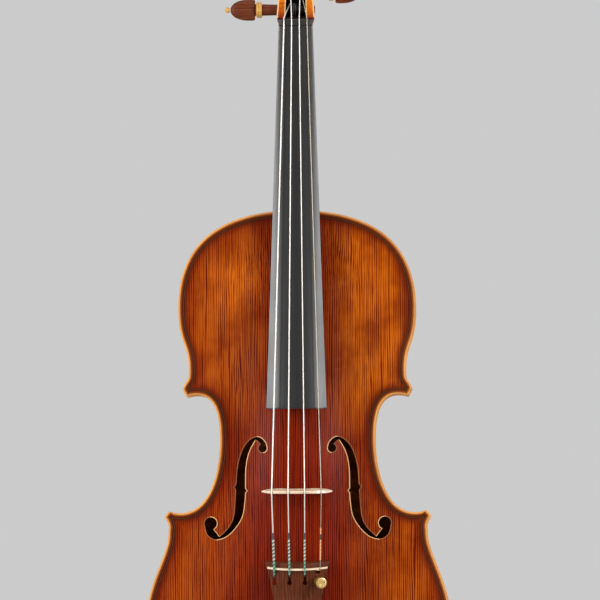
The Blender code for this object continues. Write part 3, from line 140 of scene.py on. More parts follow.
def wood_figure():
    """Rings across X, fibres along Z and slow clouds, as every wood here shows them."""
    inputs = {"Vector": "Vector", "Spacing": "Float", "Waver": "Float"}
    outputs = {"Rings": "Float", "Fibre": "Float", "Cloud": "Float"}
    tree, start, end = group_of("Wood figure", inputs, outputs)
    place = start.outputs["Vector"]
    slow = scaled(tree, place, (1.0, 1.0, 0.05))
    uneven = math_node(tree, "ADD", noise(tree, slow, 210.0, 2.0), -0.5)
    shift = node(tree, "CombineXYZ", {0: times(tree, uneven, 0.004)}).outputs[0]
    wave = {
        "Vector": node(tree, "VectorMath", {0: slow, 1: shift}).outputs[0],
        "Scale": math_node(tree, "DIVIDE", 0.314, start.outputs["Spacing"]),
        "Distortion": start.outputs["Waver"],
        "Detail": 3.0,
        "Detail Scale": 0.6,
    }
    rings = node(tree, "TexWave", wave, wave_type="BANDS", bands_direction="X").outputs["Fac"]
    stretched = scaled(tree, place, (1.0, 1.0, 0.03))
    strength = remap(tree, noise(tree, stretched, 380.0, 2.0), 0.35, 0.65, 0.45, 1.1)
    for label, value in (
        ("Rings", times(tree, rings, strength, clamp=True)),
        ("Fibre", noise(tree, stretched, 2600.0, 4.0, 0.6)),
        ("Cloud", noise(tree, place, 22.0, 3.0, 0.55)),
    ):
        tree.links.new(value, end.inputs[label])
    return tree


FIGURE = wood_figure()


def new_material(name, roughness=0.5):
    made = bpy.data.materials.new(name)
    made.use_nodes = True
    shader = made.node_tree.nodes["Principled BSDF"]
    shader.inputs["Roughness"].default_value = roughness
    return made, made.node_tree, shader


ACROSS = (0, math.radians(90), 0)


def figure_of(tree, spacing, waver, turn=(0, 0, 0)):
    """The wood's figure on object coordinates, turned so that Z follows the grain."""
    turned = node(tree, "Mapping", {"Vector": place_of(tree), "Rotation": turn}).outputs[0]
    inputs = {"Vector": turned, "Spacing": spacing, "Waver": waver}
    made = node(tree, "Group", inputs, node_tree=FIGURE)
    return turned, made.outputs["Rings"], made.outputs["Fibre"], made.outputs["Cloud"]


def grain_of(tree, fibre, fibre_share, rings, ring_share):
    return math_node(tree, "MULTIPLY_ADD", fibre, fibre_share, times(tree, rings, ring_share))


def give_colour(tree, shader, colour):
    tree.links.new(colour, shader.inputs["Base Color"])


def give_polish(tree, shader, cloud, low, high):
    """Roughness that wanders between two values with the clouds."""
    tree.links.new(remap(tree, cloud, 0.3, 0.7, low, high), shader.inputs["Roughness"])


def give_bump(tree, shader, height, strength, distance=0.0002):
    bump = node(tree, "Bump", {"Height": height, "Strength": strength, "Distance": distance})
    tree.links.new(bump.outputs[0], shader.inputs["Normal"])


def plain_wood(name, pale, dark, spacing):
    """A bare wood: rings and fibres between two colours, with clouds over them."""
    made, tree, shader = new_material(name, 0.6)
    _, rings, fibre, cloud = figure_of(tree, spacing, 2.5)
    grain = grain_of(tree, fibre, 0.6, rings, 0.4)
    colour = ramp(tree, grain, (0.2, dark), (0.75, pale))
    colour = clouded(tree, colour, cloud, 0.3, (0.80, 0.78, 0.76), 0.7)
    give_colour(tree, shader, colour)
    rough = math_node(tree, "MULTIPLY_ADD", fibre, 0.2, 0.5)
    tree.links.new(rough, shader.inputs["Roughness"])
    give_bump(tree, shader, grain, 0.35)
    return made


WILLOW_LOOK = ((0.62, 0.47, 0.31), (0.47, 0.33, 0.19), 0.0022)
WILLOW = plain_wood("bare willow", *WILLOW_LOOK)
BARE_SPRUCE = plain_wood("bare spruce", (0.66, 0.50, 0.30), (0.46, 0.30, 0.15), 0.0013)


def finish_node(name, look):
    """A CAD piece keeps its shape and gets its finish in place of the plain colour."""
    slots = parts[name].material_slots
    for place in slots:
        place.material = look
    if not slots:
        parts[name].data.materials.append(look)


def corner_willow(name):
    """Bare willow, with the ribs' varnish on the outer end that shows between two ribs."""
    made = plain_wood(name.replace("_", " "), *WILLOW_LOOK)
    tree = made.node_tree
    shader = tree.nodes["Principled BSDF"]
    bare = shader.inputs["Base Color"].links[0].from_socket
    tip = max(abs(vert.co.x) for vert in parts[name].data.vertices)
    spot = node(tree, "SeparateXYZ", {0: place_of(tree)})
    side = math_node(tree, "ABSOLUTE", spot.outputs["X"])
    shows = remap(tree, side, tip - 0.008, tip - 0.007)
    give_colour(tree, shader, mix(tree, shows, bare, (0.26, 0.070, 0.010)))
    return made


for name in parts:
    if "corner_block" in name:
        finish_node(name, corner_willow(name))
    elif "block" in name or "lining" in name:
        finish_node(name, WILLOW)
for name in ("bass_bar", "soundpost"):
    finish_node(name, BARE_SPRUCE)


# Ribs: five strips of flamed maple, 1.2 mm thick, bent on a hot iron to the outline.
# They are glued to the blocks and linings and stand between the two plates.
BODY_LENGTH = 0.408
BODY_BOTTOM = 0.011
BODY_TOP = BODY_BOTTOM + BODY_LENGTH
BODY_STOP = 0.224
BRIDGE_Z = BODY_TOP - BODY_STOP
HALF_RIB = 0.019
OVERHANG = 0.003
RIB_THICKNESS = 0.0012
GAP = 0.0003
UPPER_BOUT, UPPER_BOUT_AT = 0.1893, 0.189
UPPER_NARROW, UPPER_NARROW_AT = 0.1727, 0.311
UPPER_CORNER, UPPER_CORNER_AT, UPPER_CORNER_DEPTH = 0.1824, 0.346, 0.0071
WAIST, WAIST_AT = 0.1235, 0.4487
LOWER_CORNER, LOWER_CORNER_AT, LOWER_CORNER_DEPTH = 0.2114, 0.599, 0.005
LOWER_NARROW, LOWER_NARROW_AT = 0.2063, 0.631
LOWER_BOUT, LOWER_BOUT_AT = 0.2436, 0.8154
CORNER_INSET = 0.003


def bezier(start, out, into, end, steps):
    """Points of a stretch without its last. The handles are offsets from the ends."""
    second = (start[0] + out[0], start[1] + out[1])
    third = (end[0] + into[0], end[1] + into[1])
    points = []
    for i in range(steps):
        t = i / steps
        weights = ((1 - t) ** 3, 3 * t * (1 - t) ** 2, 3 * t * t * (1 - t), t**3)
        spots = (start, second, third, end)
        points.append(tuple(sum(w * s[k] for w, s in zip(weights, spots)) for k in (0, 1)))
    return points


def at_depth(width, share):
    return (width / 2, BODY_TOP - share * BODY_LENGTH)


def side_stretches():
    """The treble side from top to bottom in five: upper, tip, waist, tip and lower."""
    upper = at_depth(UPPER_BOUT, UPPER_BOUT_AT)
    narrow = at_depth(UPPER_NARROW, UPPER_NARROW_AT)
    corner = at_depth(UPPER_CORNER, UPPER_CORNER_AT)
    under = (corner[0] - CORNER_INSET, corner[1] - UPPER_CORNER_DEPTH)
    waist = at_depth(WAIST, WAIST_AT)
    tip = at_depth(LOWER_CORNER, LOWER_CORNER_AT)
    over = (tip[0] - CORNER_INSET, tip[1] + LOWER_CORNER_DEPTH)
    low_narrow = at_depth(LOWER_NARROW, LOWER_NARROW_AT)
    lower = at_depth(LOWER_BOUT, LOWER_BOUT_AT)

    rise = BODY_TOP - upper[1]
    first = bezier((0.0, BODY_TOP), (0.68 * upper[0], 0), (0, 0.63 * rise), upper, 26)
    drop = upper[1] - narrow[1]
    first += bezier(upper, (0, -0.6 * drop), (0, 0.43 * drop), narrow, 12)
    flare = narrow[1] - corner[1]
    first += bezier(narrow, (0, -0.68 * flare), (-0.27 * flare, 0.59 * flare), corner, 10)
    first.append(corner)
    upper_tip = bezier(corner, (0.0006, -0.002), (0.0009, 0.002), under, 6) + [under]

    run = under[0] - waist[0]
    fall = under[1] - waist[1]
    middle = bezier(under, (-0.86 * run, 0.19 * fall), (0, 0.61 * fall), waist, 18)
    run = over[0] - waist[0]
    fall = waist[1] - over[1]
    middle += bezier(waist, (0, -0.46 * fall), (-0.76 * run, -0.18 * fall), over, 22)
    middle.append(over)
    lower_tip = bezier(over, (0.0009, -0.0015), (0.0006, 0.0015), tip, 6) + [tip]

    flare = tip[1] - low_narrow[1]
    last = bezier(tip, (-0.34 * flare, -0.6 * flare), (0, 0.39 * flare), low_narrow, 10)
    drop = low_narrow[1] - lower[1]
    last += bezier(low_narrow, (0, -0.23 * drop), (0, 0.47 * drop), lower, 14)
    rise = lower[1] - BODY_BOTTOM
    last += bezier(lower, (0, -0.60 * rise), (0.53 * lower[0], 0), (0.0, BODY_BOTTOM), 26)
    last.append((0.0, BODY_BOTTOM))
    return first, upper_tip, middle, lower_tip, last


def normals_into_body(points):
    """Unit normals on the body's side of a stretch that runs down the treble side."""
    normals = []
    for i, point in enumerate(points):
        before = points[max(i - 1, 0)]
        after = points[min(i + 1, len(points) - 1)]
        if abs(point[0]) < 1e-9:
            normals.append((0.0, -1.0 if point[1] > BRIDGE_Z else 1.0))
            continue
        dx = after[0] - before[0]
        dz = after[1] - before[1]
        length = math.hypot(dx, dz)
        normals.append((dz / length, -dx / length))
    return normals


def inset(points, normals, distance):
    return [(p[0] + n[0] * distance, p[1] + n[1] * distance) for p, n in zip(points, normals)]


def verts_among(made):
    return {part for part in made if isinstance(part, bmesh.types.BMVert)}


def round_edges(bm, row):
    """The edges of a closed row of vertices."""
    return [bm.edges.get(pair) for pair in zip(row, row[1:] + row[:1])]


def start_row(bm, points, closed=True):
    """A first row of vertices with an edge from each to the next."""
    row = [bm.verts.new(point) for point in points]
    ends = row[1:] + row[:1] if closed else row[1:]
    for one, two in zip(row, ends):
        bm.edges.new((one, two))
    return row


def draw_out(bm, row, points, closed=True):
    """Extrudes a row of vertices once, onto the given points in the same order."""
    ends = row[1:] + row[:1] if closed else row[1:]
    edges = [bm.edges.get(pair) for pair in zip(row, ends)]
    made = bmesh.ops.extrude_edge_only(bm, edges=edges)["geom"]
    fresh = verts_among(made)
    following = []
    for vert, point in zip(row, points):
        new = next(e.other_vert(vert) for e in vert.link_edges if e.other_vert(vert) in fresh)
        new.co = point
        following.append(new)
    return following


def skin(rows, closed=True):
    """A closed body through rows of as many points each, drawn out from the first."""
    bm = bmesh.new()
    row = start_row(bm, rows[0], closed)
    for points in rows[1:]:
        row = draw_out(bm, row, points, closed)
    bmesh.ops.remove_doubles(bm, verts=bm.verts, dist=1e-7)
    bmesh.ops.holes_fill(bm, edges=bm.edges, sides=0)
    return bm


def ring_skin(rows):
    """A closed body whose last row meets its first, such as a collar."""
    bm = bmesh.new()
    row = start_row(bm, rows[0])
    for points in [*rows[1:], rows[0]]:
        row = draw_out(bm, row, points)
    bmesh.ops.remove_doubles(bm, verts=bm.verts, dist=1e-7)
    return bm


def object_of(name, bm):
    """Puts a mesh into the scene as an object of its own."""
    mesh = bpy.data.meshes.new(name)
    bm.to_mesh(mesh)
    bm.free()
    obj = bpy.data.objects.new(name, mesh)
    bpy.context.collection.objects.link(obj)
    return obj


def piece(name, bm, look, body="body", stands_for=(), smooth=35):
    """Finishes a mesh as a named piece that rides on one of the viola's bodies."""
    bmesh.ops.recalc_face_normals(bm, faces=bm.faces)
    obj = object_of(name, bm)
    obj.data.materials.append(look)
    obj.data.shade_smooth()
    obj.data.set_sharp_from_angle(angle=math.radians(smooth))
    if stands_for:
        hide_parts(*stands_for)
    if body:
        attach(obj, body)
    return obj


def varnish_of(tree, shader, cloud, low=0.22, high=0.36):
    """An oil varnish over the wood: glossy, slightly uneven and softly rubbed."""
    give_polish(tree, shader, cloud, low, high)
    shader.inputs["Specular IOR Level"].default_value = 0.07


def maple_flame():
    """Bands of flame across the maple's grain, with its fibres over them."""
    inputs = {"Vector": "Vector", "Stretch": "Vector"}
    inputs |= {"Fibre": "Float", "Slant": "Float", "Scale": "Float"}
    tree, start, end = group_of("Maple flame", inputs, {"Streak": "Float"})
    spot = node(tree, "SeparateXYZ", {0: start.outputs["Vector"]})
    side = math_node(tree, "ABSOLUTE", spot.outputs["X"])
    slanted = math_node(tree, "MULTIPLY_ADD", side, start.outputs["Slant"], spot.outputs["Z"])
    leaning = node(tree, "CombineXYZ", {0: spot.outputs["X"], 1: spot.outputs["Y"], 2: slanted}).outputs[0]
    wavy = scaled(tree, leaning, start.outputs["Stretch"])
    flame = times(tree, noise(tree, wavy, start.outputs["Scale"], 2.0, 0.45), 0.75)
    streak = math_node(tree, "MULTIPLY_ADD", start.outputs["Fibre"], 0.35, flame)
    tree.links.new(streak, end.inputs["Streak"])
    return tree


def plate_border():
    """The plate's border: a pale golden rim of wear and painted highlight, painted shade in the channel and
    three-ply purfling.
    """
    inputs = {"Colour": "Color", "Cloud": "Float"}
    tree, start, end = group_of("Plate border", inputs, {"Colour": "Color"})
    from_rim = times(tree, attribute(tree, "edge"), 1000.0)
    inland = times(tree, attribute(tree, "inland"), 1000.0)
    # Painted shade: the channel inside the rim darkens to near black.
    channel = times(tree, remap(tree, inland, 10.0, 4.6), 0.85)
    colour = mix(tree, channel, start.outputs["Colour"], (0.070, 0.006, 0.001))
    colour = mix(tree, remap(tree, from_rim, 3.4, 1.9), colour, (0.20, 0.050, 0.007))
    # The pale rim is wear and also a painted highlight on the rounded edge.
    rubbed = remap(tree, start.outputs["Cloud"], 0.25, 0.60, 0.45, 1.0)
    wear_and_highlight = times(tree, remap(tree, from_rim, 1.9, 0.9), rubbed)
    colour = mix(tree, wear_and_highlight, colour, (0.74, 0.33, 0.085))
    for low, high, ply in (
        (3.8, 4.22, (0.012, 0.005, 0.003)),
        (4.22, 4.66, (0.13, 0.040, 0.010)),
        (4.66, 5.1, (0.012, 0.005, 0.003)),
    ):
        inside = math_node(tree, "GREATER_THAN", from_rim, low)
        inside = times(tree, inside, math_node(tree, "LESS_THAN", from_rim, high))
        colour = mix(tree, inside, colour, ply)
    tree.links.new(colour, end.inputs["Colour"])
    return tree


FLAME = maple_flame()
BORDER = plate_border()


def flame_of(tree, place, fibre, slant, stretch, scale):
    inputs = {"Vector": place, "Fibre": fibre, "Slant": slant, "Stretch": stretch, "Scale": scale}
    return node(tree, "Group", inputs, node_tree=FLAME).outputs["Streak"]


def bordered(tree, colour, cloud):
    return node(tree, "Group", {"Colour": colour, "Cloud": cloud}, node_tree=BORDER).outputs["Colour"]


def flamed_maple(name, slant=0.0, border=False, turn=(0, 0, 0), spread=0.22):
    """Varnished maple: bands of flame across a fine grain, under red-brown varnish."""
    made, tree, shader = new_material(name, 0.3)
    place, _, fibre, cloud = figure_of(tree, 0.0021, 3.0, turn)
    streak = flame_of(tree, place, fibre, slant, (spread, 0.12, 1.0), 105.0)
    colour = ramp(
        tree,
        streak,
        (0.34, (0.11, 0.012, 0.002)),
        (0.50, (0.27, 0.045, 0.005)),
        (0.66, (0.50, 0.130, 0.014)),
    )
    colour = clouded(tree, colour, cloud, 0.32, (0.70, 0.62, 0.55), 0.68)
    if border:
        colour = bordered(tree, colour, cloud)
    give_colour(tree, shader, colour)
    varnish_of(tree, shader, cloud)
    give_bump(tree, shader, fibre, 0.10)
    return made


RIB_MAPLE = flamed_maple("rib maple", turn=ACROSS, spread=1.0)


def mirrored(points):
    return [(-x, z) for x, z in points]


def rib(name, points, normals, trim):
    """A strip between two insets of the outline, as high as the ribs."""
    points = points[trim[0] : len(points) - trim[1]]
    normals = normals[trim[0] : len(normals) - trim[1]]
    high = HALF_RIB - GAP
    outer = inset(points, normals, OVERHANG)
    inner = inset(points, normals, OVERHANG + RIB_THICKNESS)
    rows = []
    for path, level in ((outer, -high), (outer, high), (inner, high), (inner, -high), (outer, -high)):
        rows.append([(x, level, z) for x, z in path])
    piece(name + "_bent", skin(rows, closed=False), RIB_MAPLE, stands_for=[name])


upper, upper_tip, waist, lower_tip, lower = side_stretches()
for side, flip in (("treble", 1), ("bass", -1)):
    for name, stretch, trim in (("rib_upper", upper, (4, 2)), ("rib_waist", waist, (1, 1))):
        normals = normals_into_body(stretch)
        path = [(flip * x, z) for x, z in stretch]
        facing = [(flip * x, z) for x, z in normals]
        rib(f"{name}_{side}", path, facing, trim)
normals = normals_into_body(lower)
rib(
    "rib_lower",
    mirrored(lower[:-1]) + list(reversed(lower)),
    mirrored(normals[:-1]) + list(reversed(normals)),
    (2, 2),
)


# Back and top plates: carved from wedges of maple and spruce, arched, and hollowed.
# A rounded edge overhangs the ribs, and a three-ply purfling is let into the channel.
EDGE_THICKNESS = 0.0045
CHANNEL_THICKNESS = 0.0036
CHANNEL_INSET = 0.0065
PLATE_THICKNESS = 0.003
TOP_ARCH = 0.0175
BACK_ARCH = 0.017
HEEL_RADIUS = 0.012
EDGE_ROUND = 0.0021
UNDER_ROUND = 0.0014
RIM_STEPS = (0, 0.0002, 0.0006, 0.0012, 0.0018, 0.0025, 0.0032, 0.0038, 0.0044, 0.0051, 0.0058)
GRID = 0.004


def ease(start, end, share):
    return start + (end - start) * 0.5 * (1 - math.cos(math.pi * min(max(share, 0), 1)))


def arch_half_width(z):
    share = (BODY_TOP - z) / BODY_LENGTH
    if share < WAIST_AT:
        width = ease(UPPER_BOUT, WAIST, (share - UPPER_BOUT_AT) / (WAIST_AT - UPPER_BOUT_AT))
    else:
        width = ease(WAIST, LOWER_BOUT, (share - WAIST_AT) / (LOWER_BOUT_AT - WAIST_AT))
    return width / 2 - CHANNEL_INSET - 0.0015


def outer_height(x, z, rise):
    """Height of a plate's outer face above its glued face, inside the channel."""
    along = abs(2 * (z - BODY_BOTTOM) / BODY_LENGTH - 1)
    along *= BODY_LENGTH / (BODY_LENGTH - 2 * CHANNEL_INSET)
    reach = min(math.sqrt((x / arch_half_width(z)) ** 2 + along**6), 1)
    return CHANNEL_THICKNESS + (rise - CHANNEL_THICKNESS) * 0.5 * (1 + math.cos(math.pi * reach))


def face_height(x, z, edge, rise):
    """The outer face from the rounded rim over the channel to the arch."""
    arch = outer_height(x, z, rise)
    if edge >= CHANNEL_INSET - 1e-6:
        return arch
    if edge < EDGE_ROUND:
        return EDGE_THICKNESS - EDGE_ROUND + math.sqrt(EDGE_ROUND**2 - (EDGE_ROUND - edge) ** 2)
    fall = ease(EDGE_THICKNESS, CHANNEL_THICKNESS, (edge - EDGE_ROUND) / (CHANNEL_INSET - EDGE_ROUND))
    return max(fall, arch)


def under_height(x, z, edge, rise):
    """The glued face, rounded at the rim and hollowed inside the linings."""
    if edge < UNDER_ROUND:
        return UNDER_ROUND - math.sqrt(UNDER_ROUND**2 - (UNDER_ROUND - edge) ** 2)
    if edge < CHANNEL_INSET - 1e-6:
        return 0.0
    return max(outer_height(x, z, rise) - PLATE_THICKNESS, 0.0)


def room_inside(point, normal, others):
    """How far a point of the outline can move in before it meets another stretch."""
    room = 1.0
    for other in others:
        dx = other[0] - point[0]
        dz = other[1] - point[1]
        ahead = dx * normal[0] + dz * normal[1]
        if ahead > 1e-9:
            room = min(room, (dx * dx + dz * dz) / (2 * ahead))
    return 0.93 * room


def normals_out_of(loop):
    """Unit normals that point out of a closed loop, into the wood around a hole."""
    area = sum(a[0] * b[1] - b[0] * a[1] for a, b in zip(loop, loop[1:] + loop[:1]))
    turn = math.copysign(1.0, area)
    normals = []
    for i, _ in enumerate(loop):
        before, after = loop[i - 1], loop[(i + 1) % len(loop)]
        dx, dz = after[0] - before[0], after[1] - before[1]
        length = math.hypot(dx, dz)
        normals.append((turn * dz / length, -turn * dx / length))
    return normals


def plate(name, side, rise, look, holes=(), stands_for=()):
    """A plate from a flat sheet: rim rows, a filled middle, a grid, then the arching."""
    outline = []
    normals = []
    for stretch in side_stretches():
        outline += stretch[:-1]
        normals += normals_into_body(stretch)[:-1]
    bottom = [(0.0, BODY_BOTTOM)]
    outline += bottom + mirrored(reversed(outline[1:]))
    normals += [(0.0, 1.0)] + mirrored(reversed(normals[1:]))
    room = [room_inside(p, n, outline) for p, n in zip(outline, normals)]

    bm = bmesh.new()
    for label in ("edge", "lip", "inland"):
        bm.verts.layers.float.new(label)
    edge, lip, inland = (bm.verts.layers.float[label] for label in ("edge", "lip", "inland"))
    row = None
    for distance in (*RIM_STEPS, CHANNEL_INSET):
        depths = [min(distance, r) for r in room]
        spots = [(p[0] + n[0] * d, 0, p[1] + n[1] * d) for p, n, d in zip(outline, normals, depths)]
        row = draw_out(bm, row, spots) if row else start_row(bm, spots)
        for vert, depth in zip(row, depths):
            vert[edge] = depth
    loops = round_edges(bm, row)
    for hole in holes:
        away = normals_out_of(hole)
        room = [room_inside(p, n, hole) for p, n in zip(hole, away)]
        ring = start_row(bm, [(x, 0, z) for x, z in hole])
        # Pale f-hole edges: a little all round as wear, and much more on the side toward the bridge as a
        # painted highlight.
        wear_and_highlight = [1.0 if n[0] * p[0] < 0 else 0.2 for p, n in zip(hole, away)]
        for vert, share in zip(ring, wear_and_highlight):
            vert[edge] = CHANNEL_INSET
            vert[lip] = share
        for distance in (0.0004, 0.0007):
            depths = [min(distance, r) for r in room]
            spots = [(p[0] + n[0] * d, 0, p[1] + n[1] * d) for p, n, d in zip(hole, away, depths)]
            ring = draw_out(bm, ring, spots)
            for vert, share in zip(ring, wear_and_highlight):
                vert[edge] = CHANNEL_INSET
                vert[lip] = share if distance < 0.0005 else 0.0
        loops += round_edges(bm, ring)
    rim = set(bm.faces)
    bmesh.ops.triangle_fill(bm, use_beauty=True, edges=loops)
    for axis, low, high in ((0, -LOWER_BOUT / 2, LOWER_BOUT / 2), (2, BODY_BOTTOM, BODY_TOP)):
        across = Vector((axis == 0, 0, axis == 2))
        for i in range(1, int((high - low) / GRID) + 1):
            middle = [f for f in bm.faces if f not in rim]
            geometry = {part for f in middle for part in (*f.verts, *f.edges, f)}
            bmesh.ops.bisect_plane(
                bm, geom=list(geometry), plane_co=across * (low + i * GRID), plane_no=across, dist=1e-6
            )
    made = bmesh.ops.extrude_face_region(bm, geom=bm.faces[:])["geom"]
    outer = verts_among(made)
    shore = KDTree(4 * len(outline))
    for i, (start, end) in enumerate(zip(outline, outline[1:] + outline[:1])):
        for k in range(4):
            spot = (start[0] + (end[0] - start[0]) * k / 4, 0, start[1] + (end[1] - start[1]) * k / 4)
            shore.insert(spot, 4 * i + k)
    shore.balance()
    for vert in bm.verts:
        vert[inland] = shore.find((vert.co.x, 0, vert.co.z))[2]
        if vert not in outer:
            vert[lip] *= 0.3
        height = face_height if vert in outer else under_height
        vert.co.y = side * (HALF_RIB + height(vert.co.x, vert.co.z, vert[edge], rise))
    return piece(name, bm, look, stands_for=stands_for, smooth=50)


def spline(points, steps):
    """A smooth curve through the points, as a list without the last of them."""
    padded = [points[0], *points, points[-1]]
    made = []
    for i in range(1, len(padded) - 2):
        p0, p1, p2, p3 = padded[i - 1 : i + 3]
        for step in range(steps):
            t = step / steps
            weights = (2 * t**3 - 3 * t**2 + 1, t**3 - 2 * t**2 + t, -2 * t**3 + 3 * t**2, t**3 - t**2)
            spot = []
            for k in range(len(p1)):
                slope = (p2[k] - p0[k]) / 2
                next_slope = (p3[k] - p1[k]) / 2
                values = (p1[k], slope, p2[k], next_slope)
                spot.append(sum(w * v for w, v in zip(weights, values)))
            made.append(tuple(spot))
    return made


def arc(centre, radius, start, end, steps):
    """Points of an arc between two angles in degrees, both ends included."""
    angles = [math.radians(start + (end - start) * i / steps) for i in range(steps + 1)]
    return [(centre[0] + radius * math.cos(a), centre[1] + radius * math.sin(a)) for a in angles]


def f_hole(flip):
    """One f-hole's outline, from heights measured from the bridge's line."""
    outer_side = [
        (0.0252, 0.0385),
        (0.0282, 0.0420),
        (0.0325, 0.0434),
        (0.0385, 0.0405),
        (0.0438, 0.0330),
        (0.0475, 0.0205),
        (0.0487, 0.0060),
    ]
    below_nick = [(0.0491, 0.0012), (0.0507, -0.0194), (0.0553, -0.0292), (0.0625, -0.0362)]
    inner_low = [
        (0.0738, -0.0287),
        (0.0722, -0.0338),
        (0.0683, -0.0372),
        (0.0634, -0.0380),
        (0.0562, -0.0352),
        (0.0494, -0.0285),
        (0.0441, -0.0194),
        (0.0421, -0.0070),
        (0.0418, -0.0012),
    ]
    above_nick = [(0.0418, 0.0022), (0.0414, 0.0188), (0.0387, 0.0315), (0.0333, 0.0415)]
    points = spline(outer_side, 6) + [outer_side[-1], (0.0505, 0.0036)]
    points += spline(below_nick, 6) + [below_nick[-1]]
    points += arc((0.0694, -0.0253), 0.005, 245, -20, 24)
    points += spline(inner_low, 5)[1:] + [inner_low[-1], (0.0402, 0.0005)]
    points += spline(above_nick, 6) + [above_nick[-1]]
    points += arc((0.0276, 0.0344), 0.0034, 70, -200, 22)
    return [(flip * x, BRIDGE_Z + z) for x, z in points]


def varnished_spruce():
    """Spruce of narrow reeds under an orange-red varnish, with less varnish over the upper bouts and painted
    shade along the middle under the fingerboard.
    """
    made, tree, shader = new_material("varnished spruce", 0.3)
    place, rings, fibre, cloud = figure_of(tree, 0.0017, 0.40)
    spot = node(tree, "SeparateXYZ", {0: place})
    reeds = math_node(tree, "POWER", rings, 1.8)
    grain = grain_of(tree, fibre, 0.40, reeds, 0.78)
    red = ramp(
        tree,
        grain,
        (0.14, (0.25, 0.022, 0.002)),
        (0.42, (0.135, 0.006, 0.001)),
        (0.78, (0.055, 0.002, 0.001)),
    )
    gold = ramp(
        tree,
        grain,
        (0.14, (0.56, 0.145, 0.005)),
        (0.42, (0.36, 0.053, 0.002)),
        (0.78, (0.14, 0.008, 0.001)),
    )
    height = remap(tree, spot.outputs["Z"], 0.215, 0.330)
    sides = math_node(tree, "ABSOLUTE", spot.outputs["X"])
    # Painted shade: the top stays darker and redder along the middle, under the fingerboard.
    flank = remap(tree, sides, 0.016, 0.050)
    low_flank = remap(tree, sides, 0.030, 0.085, high=0.48)
    treble = remap(tree, spot.outputs["X"], -0.06, 0.07, 0.80, 1.90)
    thin_varnish_and_unshaded = math_node(tree, "MAXIMUM", times(tree, height, flank), low_flank)
    thin_varnish_and_unshaded = times(tree, thin_varnish_and_unshaded, treble)
    inland = attribute(tree, "inland")
    inland = remap(tree, inland, 0.006, 0.018, 0.30)
    thin_varnish_and_unshaded = times(tree, thin_varnish_and_unshaded, inland)
    patch = remap(tree, cloud, 0.30, 0.66, 0.35, 1.1)
    thin_varnish_and_unshaded = times(tree, thin_varnish_and_unshaded, patch, clamp=True)
    colour = mix(tree, thin_varnish_and_unshaded, red, gold)
    colour = clouded(tree, colour, cloud, 0.30, (0.70, 0.60, 0.55), 0.62)
    colour = bordered(tree, colour, cloud)
    # Pale f-hole edges: wear all round and a painted highlight on the side toward the bridge.
    lip = attribute(tree, "lip")
    colour = mix(tree, lip, colour, (0.76, 0.44, 0.19))
    give_colour(tree, shader, colour)
    varnish_of(tree, shader, cloud)
    give_bump(tree, shader, grain, 0.22)
    return made


SPRUCE = varnished_spruce()
BACK_MAPLE = flamed_maple("back maple", 0.25, border=True)
plate("top_arched", -1, TOP_ARCH, SPRUCE, (f_hole(1), f_hole(-1)), ["top_plate"])
plate("back_arched", 1, BACK_ARCH, BACK_MAPLE, (), ["back_plate"])

BUTTON_THICKNESS = 0.0043
button_middle = Matrix.Translation((0, HALF_RIB + BUTTON_THICKNESS / 2, BODY_TOP))
bm = bmesh.new()
bmesh.ops.create_cone(
    bm,
    cap_ends=True,
    segments=64,
    radius1=HEEL_RADIUS,
    radius2=HEEL_RADIUS,
    depth=BUTTON_THICKNESS,
    matrix=button_middle @ Matrix.Rotation(math.pi / 2, 4, "X"),
)
rims = [e for e in bm.edges if abs(e.verts[0].co.y - e.verts[1].co.y) < 1e-6]
bmesh.ops.bevel(bm, geom=rims, offset=0.0012, segments=4, profile=0.5, affect="EDGES", material=-1)
piece("back_button", bm, flamed_maple("button maple", 0.1))


# Neck, pegbox and scroll: one block of maple, let into the body and glued to the button.
# The neck is left nearly bare and oiled by the hand, and the rest is carved and varnished.
NECK_SLOPE = 0.0978
NECK_STANDING = 0.008
NECK_THICKNESS = 0.0125
NECK_LENGTH = 0.1471
NUT_Z = BODY_TOP + NECK_LENGTH
NUT_LENGTH = 0.0058
PEGBOX_Z = NUT_Z + NUT_LENGTH + 2 * GAP
PEGBOX_LENGTH = 0.0718
PEGBOX_WIDTH = 0.0304
THROAT_WIDTH = 0.0195
PEGBOX_HOLLOW = 0.0166
THROAT_HOLLOW = 0.0102
PEGBOX_LEAN = 0.30
PEGBOX_FLOOR = 0.0065
VOLUTE_RADIUS = 0.021
VOLUTE_RISE = 0.020
EYE_WIDTH = 0.044
EYE_RADIUS = 0.0048
VOLUTE_TURNS = 2.5
BOARD_LENGTH = 0.306
BOARD_WIDTH_AT_NUT = 0.0272
BOARD_WIDTH_AT_END = 0.048


def neck_plane(z):
    """Where the fingerboard is glued to the neck."""
    return -HALF_RIB - EDGE_THICKNESS - NECK_STANDING + NECK_SLOPE * (z - BODY_TOP)


def board_half_width(z):
    flare = (BOARD_WIDTH_AT_END - BOARD_WIDTH_AT_NUT) * (NUT_Z - z) / BOARD_LENGTH
    return (BOARD_WIDTH_AT_NUT + flare) / 2


def pegbox_front(z):
    return neck_plane(NUT_Z) - 0.0022 + PEGBOX_LEAN * (z - PEGBOX_Z)


def pegbox_back(z):
    return neck_plane(NUT_Z) + NECK_THICKNESS + 0.0160 + 0.215 * (z - PEGBOX_Z - 0.011)


def pegbox_half(z, at_nut, at_throat):
    return (at_nut + (at_throat - at_nut) * (z - PEGBOX_Z) / PEGBOX_LENGTH) / 2


def through(table, z):
    """A smooth value at z from a table of (z, value, ...) rows."""
    if z <= table[0][0]:
        return table[0][1:]
    for low, high in zip(table, table[1:]):
        if z <= high[0]:
            share = (z - low[0]) / (high[0] - low[0])
            return tuple(ease(a, b, share) for a, b in zip(low[1:], high[1:]))
    return table[-1][1:]


